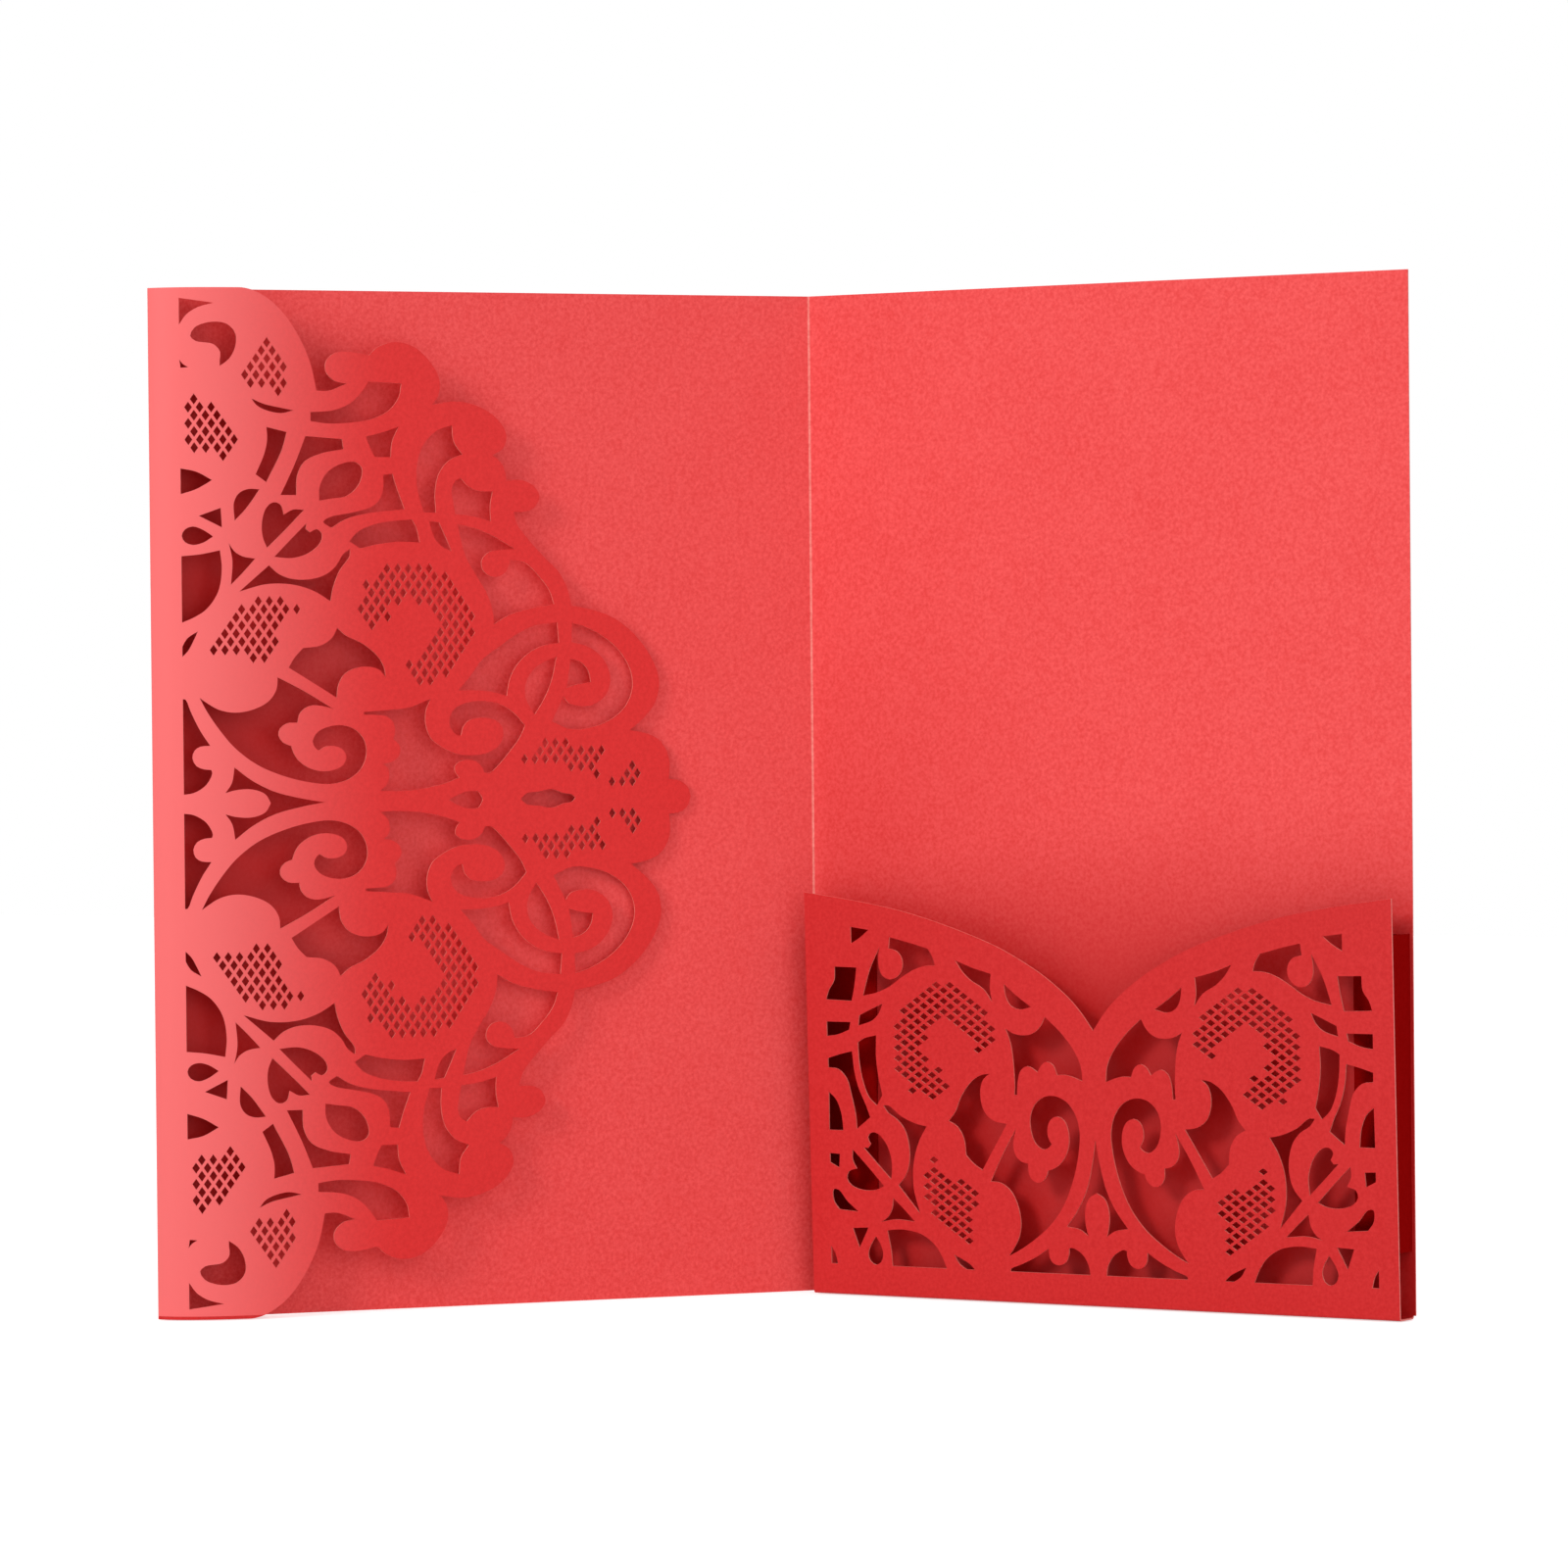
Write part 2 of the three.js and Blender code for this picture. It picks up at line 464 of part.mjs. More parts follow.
class Path {
  constructor(x, y, heading) {
    this.points = [new THREE.Vector2(x, y)];
    this.flat = [0];
    this.heading = heading;
  }

  turn(angle) {
    this.heading += angle;
  }

  go(length) {
    const last = this.points[this.points.length - 1];
    const ahead = new THREE.Vector2(Math.cos(this.heading), Math.sin(this.heading));
    this.points.push(last.clone().addScaledVector(ahead, length));
    this.flat.push(this.flat[this.flat.length - 1] + length);
  }

  // The point at a flat position, moved sideways by an offset, with mitred corners.
  at(position, offset) {
    const { points, flat } = this;
    let i = 0;
    while (i < flat.length - 2 && position > flat[i + 1]) {
      i += 1;
    }
    const share = (position - flat[i]) / (flat[i + 1] - flat[i]);
    const start = this.corner(i, offset);
    const end = this.corner(i + 1, offset);
    return start.lerp(end, share);
  }

  corner(i, offset) {
    const { points } = this;
    const left = (a, b) => new THREE.Vector2(a.y - b.y, b.x - a.x).normalize();
    const before = i > 0 ? left(points[i - 1], points[i]) : left(points[0], points[1]);
    const after = i < points.length - 1 ? left(points[i], points[i + 1]) : before;
    const mitre = before.clone().add(after).divideScalar(1 + before.dot(after));
    return points[i].clone().addScaledVector(mitre, offset);
  }
}

const spineTurn = Math.PI - THREE.MathUtils.degToRad(OPENING_DEGREES);
const spring = THREE.MathUtils.degToRad(FLAP_SPRING_DEGREES);
const sag = (spring * FLAP_SPRING_LENGTH - FLAP_TIP_GAP) / (FLAP_REACH - FLAP_SPRING_LENGTH);
const flapRise = (reach) => (spring + sag) * Math.exp(-reach / FLAP_SPRING_LENGTH) - sag;
const flapStops = [0, 2, 4, 6.5, 9.5, 13, 18, 26, 40, FLAP_REACH];

const walk = new Path(RIGHT_WIDTH, 0, Math.PI);
walk.go(RIGHT_WIDTH - POCKET_INSET - POCKET_WIDTH);
walk.go(POCKET_WIDTH);
walk.go(POCKET_INSET - FOLD_RADIUS);
bend(walk, spineTurn, FOLD_RADIUS * 2);
const leftStart = walk.flat[walk.flat.length - 1];
walk.go(LEFT_WIDTH - FOLD_RADIUS * 2);
bend(walk, Math.PI - spring, FOLD_RADIUS);
const flapStart = walk.flat[walk.flat.length - 1];
const flapHeading = walk.heading;
for (let i = 1; i < flapStops.length; i += 1) {
  const middle = (flapStops[i] + flapStops[i - 1]) / 2;
  walk.heading = flapHeading + spring - flapRise(middle);
  walk.go(flapStops[i] - flapStops[i - 1]);
}

// The pocket's path, seen from the end of the right panel: down the panel, along the table
// and up the leaf.
const foldStart = SHEET / 2 + FOLD_RADIUS;
const climb = new Path(0, foldStart, -Math.PI / 2);
bend(climb, -Math.PI / 2, FOLD_RADIUS);
climb.go(POCKET_DEPTH - 2 * FOLD_RADIUS);
bend(climb, Math.atan(POCKET_LEAN) - Math.PI / 2, FOLD_RADIUS);
const leafStart = climb.flat[climb.flat.length - 1];
climb.go(POCKET_HEIGHT);

// Flat positions: across the sheet from the right panel's free edge, and up from the table.
// The pocket lies below the fold line of its panel.
const across = walk.flat[walk.flat.length - 1];
const pocketMiddle = RIGHT_WIDTH - POCKET_INSET - POCKET_WIDTH / 2;
const flapScaleAcross = FLAP_REACH / DRAWN_REACH;
const flapScaleUp = HEIGHT / 2 / DRAWN_HALF;
const pocketScaleAcross = POCKET_WIDTH / 2 / DRAWN_POCKET_HALF;
const pocketScaleUp = POCKET_HEIGHT / DRAWN_POCKET_HEIGHT;
const onFlap = ([a, b]) => [flapStart + a * flapScaleAcross, HEIGHT / 2 + b * flapScaleUp];
const onPocket = ([a, b]) => [
  pocketMiddle + b * pocketScaleAcross,
  foldStart - leafStart - (a * pocketScaleUp - foldStart),
];

const flapOutline = trace(flapEdge, false);
const pocketTop = trace(pocketEdge, false);
const pocketLeft = pocketMiddle + POCKET_WIDTH / 2;
const pocketRight = pocketMiddle - POCKET_WIDTH / 2;
const blank = [
  [0, HEIGHT],
  [0, foldStart],
  [pocketRight, foldStart],
  ...flip(pocketTop).reverse().map(onPocket),
  ...pocketTop.slice(1).map(onPocket),
  [pocketLeft, foldStart],
  [leftStart - FOLD_RADIUS, foldStart],
  [leftStart, 0],
  ...flip(flapOutline).map(onFlap),
  ...flapOutline.slice(0, -1).reverse().map(onFlap),
];
const windows = [
  ...flapWindows.map((polygon) => polygon.map(onFlap)),
  ...pocketWindows.map((polygon) => polygon.map(onPocket)),
];

// A closed three.js geometry as a solid that can be joined and cut.
function solidOf(geometry) {
  const plain = geometry.index ? geometry.toNonIndexed() : geometry.clone();
  plain.deleteAttribute("normal");
  plain.deleteAttribute("uv");
  const merged = mergeVertices(plain, 1e-4);
  return new Manifold(
    new Mesh({
      numProp: 3,
      vertProperties: merged.attributes.position.array,
      triVerts: new Uint32Array(merged.index.array),
    }),
  );
}

// A flat outline given thickness about the flat sheet's middle plane.
function plate(polygon, thickness) {
  const shape = new THREE.Shape(polygon.map(([a, b]) => new THREE.Vector2(a, b)));
  const geometry = new THREE.ExtrudeGeometry(shape, { depth: thickness, bevelEnabled: false });
  return geometry.translate(0, 0, -thickness / 2);
}

const cutters = mergeGeometries(windows.map((polygon) => plate(polygon, 3 * SHEET)));
const flatSheet = solidOf(plate(blank, SHEET)).subtract(solidOf(cutters));

// The cells between fold lines, each cut out of the sheet and covered with triangles. Cells
// meet along the same points, so that the folded sheet stays closed.
const cells = [];
for (let i = 1; i < walk.flat.length; i += 1) {
  const low = i <= 3 ? foldStart : 0;
  cells.push([walk.flat[i - 1], walk.flat[i], low, HEIGHT]);
}
for (let i = 1; i < climb.flat.length; i += 1) {
  cells.push([pocketRight, pocketLeft, foldStart - climb.flat[i], foldStart - climb.flat[i - 1]]);
}

const vertices = [];
const known = new Map();
const MERGE = 1e-3;

// The number of the vertex at a flat position, which cells on both sides of a fold share.
function vertex(a, b) {
  const column = Math.round(a / MERGE);
  const row = Math.round(b / MERGE);
  for (let i = -1; i <= 1; i += 1) {
    for (let j = -1; j <= 1; j += 1) {
      const near = known.get(column + i + "," + (row + j));
      if (near !== undefined) {
        return near;
      }
    }
  }
  known.set(column + "," + row, vertices.length);
  vertices.push([a, b]);
  return vertices.length - 1;
}

const triangles = [];
for (const [a0, a1, b0, b1] of cells) {
  const frame = new THREE.BoxGeometry(a1 - a0, b1 - b0, 3 * SHEET)
    .translate((a0 + a1) / 2, (b0 + b1) / 2, 0);
  const piece = flatSheet.intersect(solidOf(frame)).getMesh();
  const place = (k) => piece.vertProperties.subarray(k * piece.numProp, k * piece.numProp + 3);
  for (let i = 0; i < piece.triVerts.length; i += 3) {
    const corners = [...piece.triVerts.subarray(i, i + 3)].map(place);
    if (corners.every(([, , height]) => height > 0.4 * SHEET)) {
      const ids = corners.map(([a, b]) => vertex(a, b));
      if (new Set(ids).size === 3) {
        triangles.push(ids);
      }
    }
  }
}

// Along the seams between cells every triangle gets a corner at each vertex on its edge.
function between(from, to) {
  const axis = [0, 1].find((k) => Math.abs(vertices[from][k] - vertices[to][k]) < MERGE);
  if (axis === undefined) {
    return [];
  }
  const other = 1 - axis;
  const level = vertices[from][axis];
  const line = seams[axis].find((seam) => Math.abs(seam.level - level) < 2 * MERGE);
  if (!line) {
    return [];
  }
  const ends = [vertices[from][other], vertices[to][other]];
  const low = Math.min(...ends) + MERGE;
  const high = Math.max(...ends) - MERGE;
  const way = Math.sign(ends[1] - ends[0]);
  return line.members
    .filter((k) => vertices[k][other] > low && vertices[k][other] < high)
    .sort((i, j) => way * (vertices[i][other] - vertices[j][other]));
}

const seams = [0, 1].map((axis) => {
  const levels = new Set(cells.flatMap((cell) => [cell[2 * axis], cell[2 * axis + 1]]));
  return [...levels].map((level) => ({
    level,
    members: vertices.flatMap((at, k) => (Math.abs(at[axis] - level) < 2 * MERGE ? [k] : [])),
  }));
});

const matched = [];
while (triangles.length) {
  const [i, j, k] = triangles.pop();
  const found = [[i, j, k], [j, k, i], [k, i, j]].find(([from, to]) => between(from, to).length);
  if (found) {
    const [from, to, apex] = found;
    const chain = [from, ...between(from, to), to];
    for (let n = 1; n < chain.length; n += 1) {
      triangles.push([chain[n - 1], chain[n], apex]);
    }
  } else {
    matched.push([i, j, k]);
  }
}

// A flat position folded into place, on the reader's side of the sheet or on its back.
function fold([a, b], offset) {
  if (b < foldStart - 1e-6 && a < pocketLeft + 1e-6 && a > pocketRight - 1e-6) {
    const side = climb.at(foldStart - b, -offset);
    return [RIGHT_WIDTH - a, side.x, side.y];
  }
  const plan = walk.at(a, offset);
  return [plan.x, plan.y, b];
}

const half = SHEET / 2;
const positions = [
  ...vertices.map((at) => fold(at, half)),
  ...vertices.map((at) => fold(at, -half)),
];
const count = vertices.length;
const edges = new Map();
matched.forEach((ids) => {
  ids.forEach((from, k) => {
    edges.set(from + ">" + ids[(k + 1) % 3], [from, ids[(k + 1) % 3]]);
  });
});
const faces = [];
matched.forEach(([i, j, k]) => {
  faces.push([i, k, j], [i + count, j + count, k + count]);
});
edges.forEach(([from, to]) => {
  if (!edges.has(to + ">" + from)) {
    faces.push([from, to, from + count], [to, to + count, from + count]);
  }
});

function closed(points, indices) {
  const geometry = new THREE.BufferGeometry();
  geometry.setAttribute("position", new THREE.Float32BufferAttribute(points.flat(), 3));
  geometry.setIndex(indices.flat());
  return geometry;
}

// A side tab: a wall from the leaf's edge back to the panel, and a strip glued to the panel.
// Each is set in a little from the sheet it joins, so that no two faces lie in one plane.
function tab(side) {
  const leaf = (rise) => -POCKET_DEPTH - (rise - foldStart) * POCKET_LEAN;
  const edge = RIGHT_WIDTH - (side > 0 ? pocketLeft : pocketRight);
  const outer = edge + side * JOIN_INSET;
  const profile = [
    [0, TAB_START],
    [0, TAB_END],
    [leaf(TAB_END), TAB_END],
    [leaf(TAB_START), TAB_START],
  ];
  const wall = plate(profile, SHEET)
    .applyMatrix4(new THREE.Matrix4().makeBasis(
      new THREE.Vector3(0, 1, 0),
      new THREE.Vector3(0, 0, 1),
      new THREE.Vector3(1, 0, 0),
    ))
    .translate(outer + side * half, 0, 0);
  const strip = new THREE.BoxGeometry(
    TAB_WIDTH,
    SHEET + half,
    TAB_END - TAB_START - 2 * JOIN_INSET,
  ).translate(
    outer + side * (JOIN_INSET + TAB_WIDTH / 2),
    -(SHEET + half) / 2,
    (TAB_START + TAB_END) / 2,
  );
  return solidOf(wall).add(solidOf(strip));
}

const card = solidOf(closed(positions, faces)).add(tab(1)).add(tab(-1));

function geometryOf(body) {
  const mesh = body.getMesh();
  const geometry = new THREE.BufferGeometry();
  geometry.setAttribute("position", new THREE.BufferAttribute(mesh.vertProperties, 3));
  geometry.setIndex(new THREE.BufferAttribute(mesh.triVerts, 1));
  geometry.computeVertexNormals();
  return geometry;
}

const pearlCard = new THREE.MeshStandardMaterial({
  name: "red_pearl_card",
  color: 0xc81420,
  roughness: 0.45,
  metalness: 0.15,
});

const folded = new THREE.Mesh(geometryOf(card), pearlCard);
folded.name = "folded_card";
folded.geometry.computeBoundingBox();
const middle = folded.geometry.boundingBox.getCenter(new THREE.Vector3());
folded.geometry.translate(-middle.x, -middle.y, 0);

const model = new THREE.Group();
model.name = "invitation_card";
model.add(folded);

export default model;
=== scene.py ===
import math
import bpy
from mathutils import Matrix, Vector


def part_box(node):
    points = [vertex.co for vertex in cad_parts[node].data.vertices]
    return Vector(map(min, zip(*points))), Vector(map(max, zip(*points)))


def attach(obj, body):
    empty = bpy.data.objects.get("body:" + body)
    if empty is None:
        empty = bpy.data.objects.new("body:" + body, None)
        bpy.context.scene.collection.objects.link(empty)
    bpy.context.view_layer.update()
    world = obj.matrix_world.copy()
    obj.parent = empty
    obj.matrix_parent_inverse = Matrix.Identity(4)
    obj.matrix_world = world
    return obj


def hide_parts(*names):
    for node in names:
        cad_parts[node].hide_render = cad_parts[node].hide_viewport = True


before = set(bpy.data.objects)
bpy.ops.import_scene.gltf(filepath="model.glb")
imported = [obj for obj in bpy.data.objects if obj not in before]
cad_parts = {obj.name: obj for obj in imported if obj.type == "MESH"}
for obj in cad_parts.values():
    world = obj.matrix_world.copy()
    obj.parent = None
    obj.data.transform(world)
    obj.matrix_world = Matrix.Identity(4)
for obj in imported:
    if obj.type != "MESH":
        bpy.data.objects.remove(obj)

from types import SimpleNamespace

import bmesh
import bpy
from bpy.props import FloatProperty, FloatVectorProperty, PointerProperty
from mathutils import Matrix, Vector
from mathutils.geometry import delaunay_2d_cdt

bl_info = {
    "name": "Pocket Invitation Card",
    "version": (1, 0, 0),
    "blender": (4, 5, 0),
    "location": "View3D > Sidebar > Card",
    "description": "Builds a laser-cut pocket invitation card and its photo stage",
    "category": "Add Mesh",
}

# Sizes in this script are millimetres until a mesh is written in metres.
MM = 0.001
CARD_NODE = "folded_card"
CORNER = 1

# The drawing of the lace: the flap's reach from its fold and half height, and the
# pocket's half width and height.
DRAWN_REACH = 104.0
DRAWN_HALF = 92.5
DRAWN_POCKET_HALF = 61.0
DRAWN_POCKET_HEIGHT = 74.5

# The pocket repeats the flap's motif a little smaller. The line is where windows begin.
POCKET_MOTIF_RISE = 0.95
POCKET_MOTIF_WIDTH = 0.985
WINDOW_LINE = 5.7

# The photo's size, in pixels, and the camera that took it: where it stood, and how it was
# turned, in degrees.
PHOTO_SIDE_PX = 1600
PHOTO_FOCAL_PX = 6853.0
SENSOR_MM = 36.0
CAMERA_FROM_SPINE = (670.5, -1055.2, 113.9)
CAMERA_YAW = -32.68
CAMERA_PITCH = -0.894
CAMERA_ROLL = -0.53

# Steps that round each fold, how the flap's runs lengthen from its fold, and the angle
# above which an edge stays sharp.
SPINE_BEND_STEPS = 5
FLAP_BEND_STEPS = 7
POCKET_BEND_STEPS = 4
FLAP_STOP_GROWTH = 1.13
FLAP_STOP_START = 0.9
SHARP_DEGREES = 32.0

# Lengths, in millimetres, that count as none: between points of an outline, between the
# cuts of the flat sheet, and at the pocket's sides. The last is how far above and below
# the flat sheet the net looks for its patches.
LEAST_GAP = 1e-6
MERGE_GAP = 1e-5
SEAM_SLACK = 1e-4
RAY_HEIGHT = 1.0

# The triangulation's way of leaving out what lies outside its polygons.
CUT_INSIDE = 1

# Faces of a box whose corners go round one end and then round the other.
BOX_FACES = (
    (0, 3, 2, 1), (4, 5, 6, 7), (0, 1, 5, 4), (1, 2, 6, 5), (2, 3, 7, 6), (3, 0, 4, 7),
)

# The card's materials in the order of its faces' numbers: the name, the colour's property,
# the specular level and the coat.
CARD_MATERIALS = (
    ("Inner Face", "inner_color", 0.2, 0.0),
    ("Flap Face", "flap_color", 0.3, 0.0),
    ("Cut Edge", "edge_color", 0.3, 0.0),
    # The pocket's face is the flap's outer side, made darker as painted shade.
    ("Pocket Face", "pocket_shade_color", 0.2, 0.0),
    # The side tab's deep red is painted shade inside the pocket.
    ("Side Tab", "tab_shade_color", 0.0, 0.0),
    ("Back Face", "back_color", 0.4, 0.1),
)
INNER, FLAP, EDGE, POCKET_FACE_SHADE, TAB_SHADE, BACK = range(len(CARD_MATERIALS))

# The properties that the sidebar panel shows.
PANEL_SIZES = (
    "height", "left_width", "right_width", "opening", "flap_reach", "pocket_height",
    "pocket_depth", "net_pitch", "net_gap", "inner_color", "flap_color", "pocket_shade_color",
    "back_color",
)

# The card's mottled grain: how far it takes a colour down and up, channel by channel, the
# fine and the broad noise it is made of, and what it does to the gloss and the relief.
GRAIN_DEEP = (0.92, 0.6, 0.6)
GRAIN_LIGHT = (1.08, 1.4, 1.4)
GRAIN_RANGE = (0.36, 0.64)
GRAIN_SCALE = 1500.0
GRAIN_RELIEF = 0.15
FINE_DETAIL = 6.0
FINE_ROUGHNESS = 0.65
BROAD_SCALE = 55.0
BROAD_DETAIL = 4.0
BROAD_SHARE = 0.3
ROUGHNESS_RANGE = (0.38, 0.52)
GRAIN_HEIGHT = 0.0001
COAT_ROUGHNESS = 0.4

# Where the painted shade and the painted highlight laid over the card's colour start and
# end, in metres:
# from the flap's fold, up and down from the pocket's rim, and from the spine. The band is
# in shares of the half height.
FLAP_SHADE = (0.055, 0.012)
FLAP_SHADE_BAND = (0.99, 0.70)
POCKET_SHADE = (0.022, 0.026)
SPINE_EDGE = (-0.002, 0.004)
CORNER_SHADE_REACH = (0.070, 0.004)
CORNER_SHADE_RISE = (0.075, 0.010)
FOLD_HIGHLIGHT_REACH = 0.045

# The stage, in metres and watts. The white surroundings light the card at the ambient
# level, and the floor is lifted towards white where the camera sees it.
AMBIENT_LEVEL = 0.5
FLOOR_LIFT = 0.6
FLOOR_REACH = 1.6
FLOOR_DROP = 0.0002
FLOOR_COLOR = (0.93, 0.93, 0.93, 1.0)
FLOOR_ROUGHNESS = 0.9
WHITE = (1.0, 1.0, 1.0, 1.0)
LAMP_TARGET = (0.0, -0.03, 0.09)
LAMPS = (
    ("Key", (-0.32, -1.48, 0.84), 0.5, 10.0, (1.0, 0.99, 0.98)),
    ("Fill", (1.14, -0.87, 0.54), 1.2, 4.5, (1.0, 1.0, 1.0)),
)

# Lace outlines: distance from the fold, distance from the middle line, and a third entry
# where the outline has a corner. Windows are drawn on one side of the middle line.
MOTIF = {
    "spandrel": [
        (5.7, 1.7, CORNER), (7.5, 2.0), (9.7, 3.4), (10.8, 5.5), (10.6, 6.1, CORNER),
        (9.4, 6.2), (8.0, 6.8), (7.3, 8.2), (7.7, 9.6), (8.8, 10.3),
        (10.5, 10.4, CORNER), (8.8, 13.0), (7.1, 16.5), (6.2, 18.7),
        (5.7, 18.8, CORNER),
    ],
    "scroll_room": [
        (8.7, 19.0, CORNER), (10.0, 16.5), (12.2, 13.2), (15.0, 9.9), (19.0, 6.9),
        (24.0, 4.8), (29.0, 3.6), (33.0, 3.3), (36.2, 4.1), (38.6, 5.9), (39.7, 8.5),
        (39.4, 10.9), (37.9, 12.8), (35.4, 13.8), (32.4, 13.6), (30.3, 12.6),
        (29.4, 11.0), (29.9, 9.8), (30.5, 9.3, CORNER), (31.7, 10.0), (33.6, 10.1),
        (35.2, 9.4), (35.8, 8.0), (35.1, 6.6), (33.4, 5.8), (31.0, 5.6), (28.5, 6.3),
        (26.6, 7.7), (25.6, 9.4), (25.4, 10.2, CORNER), (23.9, 10.8), (23.0, 12.1),
        (23.3, 13.4), (24.6, 14.3), (26.6, 14.4, CORNER), (26.9, 15.8), (28.0, 17.0),
        (29.6, 17.5), (31.5, 17.3), (33.4, 16.8, CORNER), (28.0, 20.0),
        (22.9, 22.6, CORNER), (22.7, 20.5), (21.3, 18.4), (18.5, 16.9), (15.0, 16.3),
        (12.0, 16.9), (9.8, 18.2),
    ],
    "stem_room": [
        (25.0, 24.3, CORNER), (26.2, 26.2), (27.8, 27.8, CORNER), (31.0, 28.2),
        (33.3, 29.6), (34.3, 31.4, CORNER), (36.0, 30.0), (39.2, 28.5), (42.0, 26.3),
        (43.3, 24.2), (43.6, 22.3, CORNER), (42.6, 23.6), (40.8, 24.3), (38.0, 24.2),
        (35.8, 23.2), (34.5, 21.3), (34.1, 18.8, CORNER),
    ],
    "leaf_room": [
        (16.0, 38.0, CORNER), (21.0, 39.3), (26.0, 39.2), (30.0, 38.0),
        (33.1, 36.2, CORNER), (33.6, 38.6), (34.9, 41.7), (36.9, 44.4),
        (36.9, 45.6, CORNER), (35.5, 44.6), (34.3, 42.7), (32.4, 41.1), (29.5, 40.2),
        (26.0, 40.2), (23.4, 41.1), (21.5, 42.7, CORNER), (18.8, 40.4),
    ],
    "stem_foot": [
        (14.5, 39.2, CORNER), (16.8, 41.5), (19.0, 43.9, CORNER), (16.7, 44.3),
        (15.1, 45.3), (14.2, 46.7, CORNER), (14.8, 43.5),
    ],
    "bud_inner": [
        (21.2, 45.8, CORNER), (20.4, 47.8), (20.3, 50.5), (21.1, 53.0), (22.4, 54.0),
        (23.8, 53.6), (24.4, 51.8, CORNER), (26.2, 52.7), (28.2, 52.6, CORNER),
        (25.0, 49.4),
    ],
    "bud_outer": [
        (22.5, 44.2, CORNER), (26.0, 44.0), (29.2, 45.0), (31.3, 46.8), (31.6, 48.3),
        (30.6, 49.2), (29.3, 48.6, CORNER), (28.5, 49.2, CORNER), (28.6, 50.2, CORNER),
        (25.5, 47.2),
    ],
    "small_triangle": [
        (13.0, 49.5, CORNER), (12.8, 53.0, CORNER), (8.9, 51.6, CORNER),
    ],
    "drop": [
        (11.4, 47.9, CORNER), (9.6, 46.8), (7.8, 46.4), (6.4, 46.9), (5.8, 48.0),
        (6.4, 49.2), (7.8, 49.7), (9.6, 49.1),
    ],
    "base_window": [
        (5.7, 44.4, CORNER), (9.0, 44.7), (12.6, 45.4, CORNER), (12.9, 42.0),
        (12.2, 38.0), (10.2, 35.0), (8.0, 33.5), (5.7, 32.5, CORNER),
    ],
    "sliver": [
        (5.7, 26.4, CORNER), (5.7, 28.2, CORNER), (6.6, 29.7), (8.5, 30.9, CORNER),
        (7.5, 28.8), (6.7, 27.4),
    ],
    "ring_band": [
        (36.8, 47.0, CORNER), (38.4, 48.7), (41.5, 50.0), (45.3, 50.7),
        (49.0, 50.9, CORNER), (49.8, 49.6), (50.5, 46.8, CORNER), (46.0, 46.9),
        (42.0, 46.4), (38.9, 45.7, CORNER),
    ],
    "ring_corner": [
        (52.3, 50.7, CORNER), (54.3, 50.4, CORNER), (55.5, 47.9), (56.7, 45.2, CORNER),
        (54.9, 46.0), (53.4, 47.5),
    ],
}
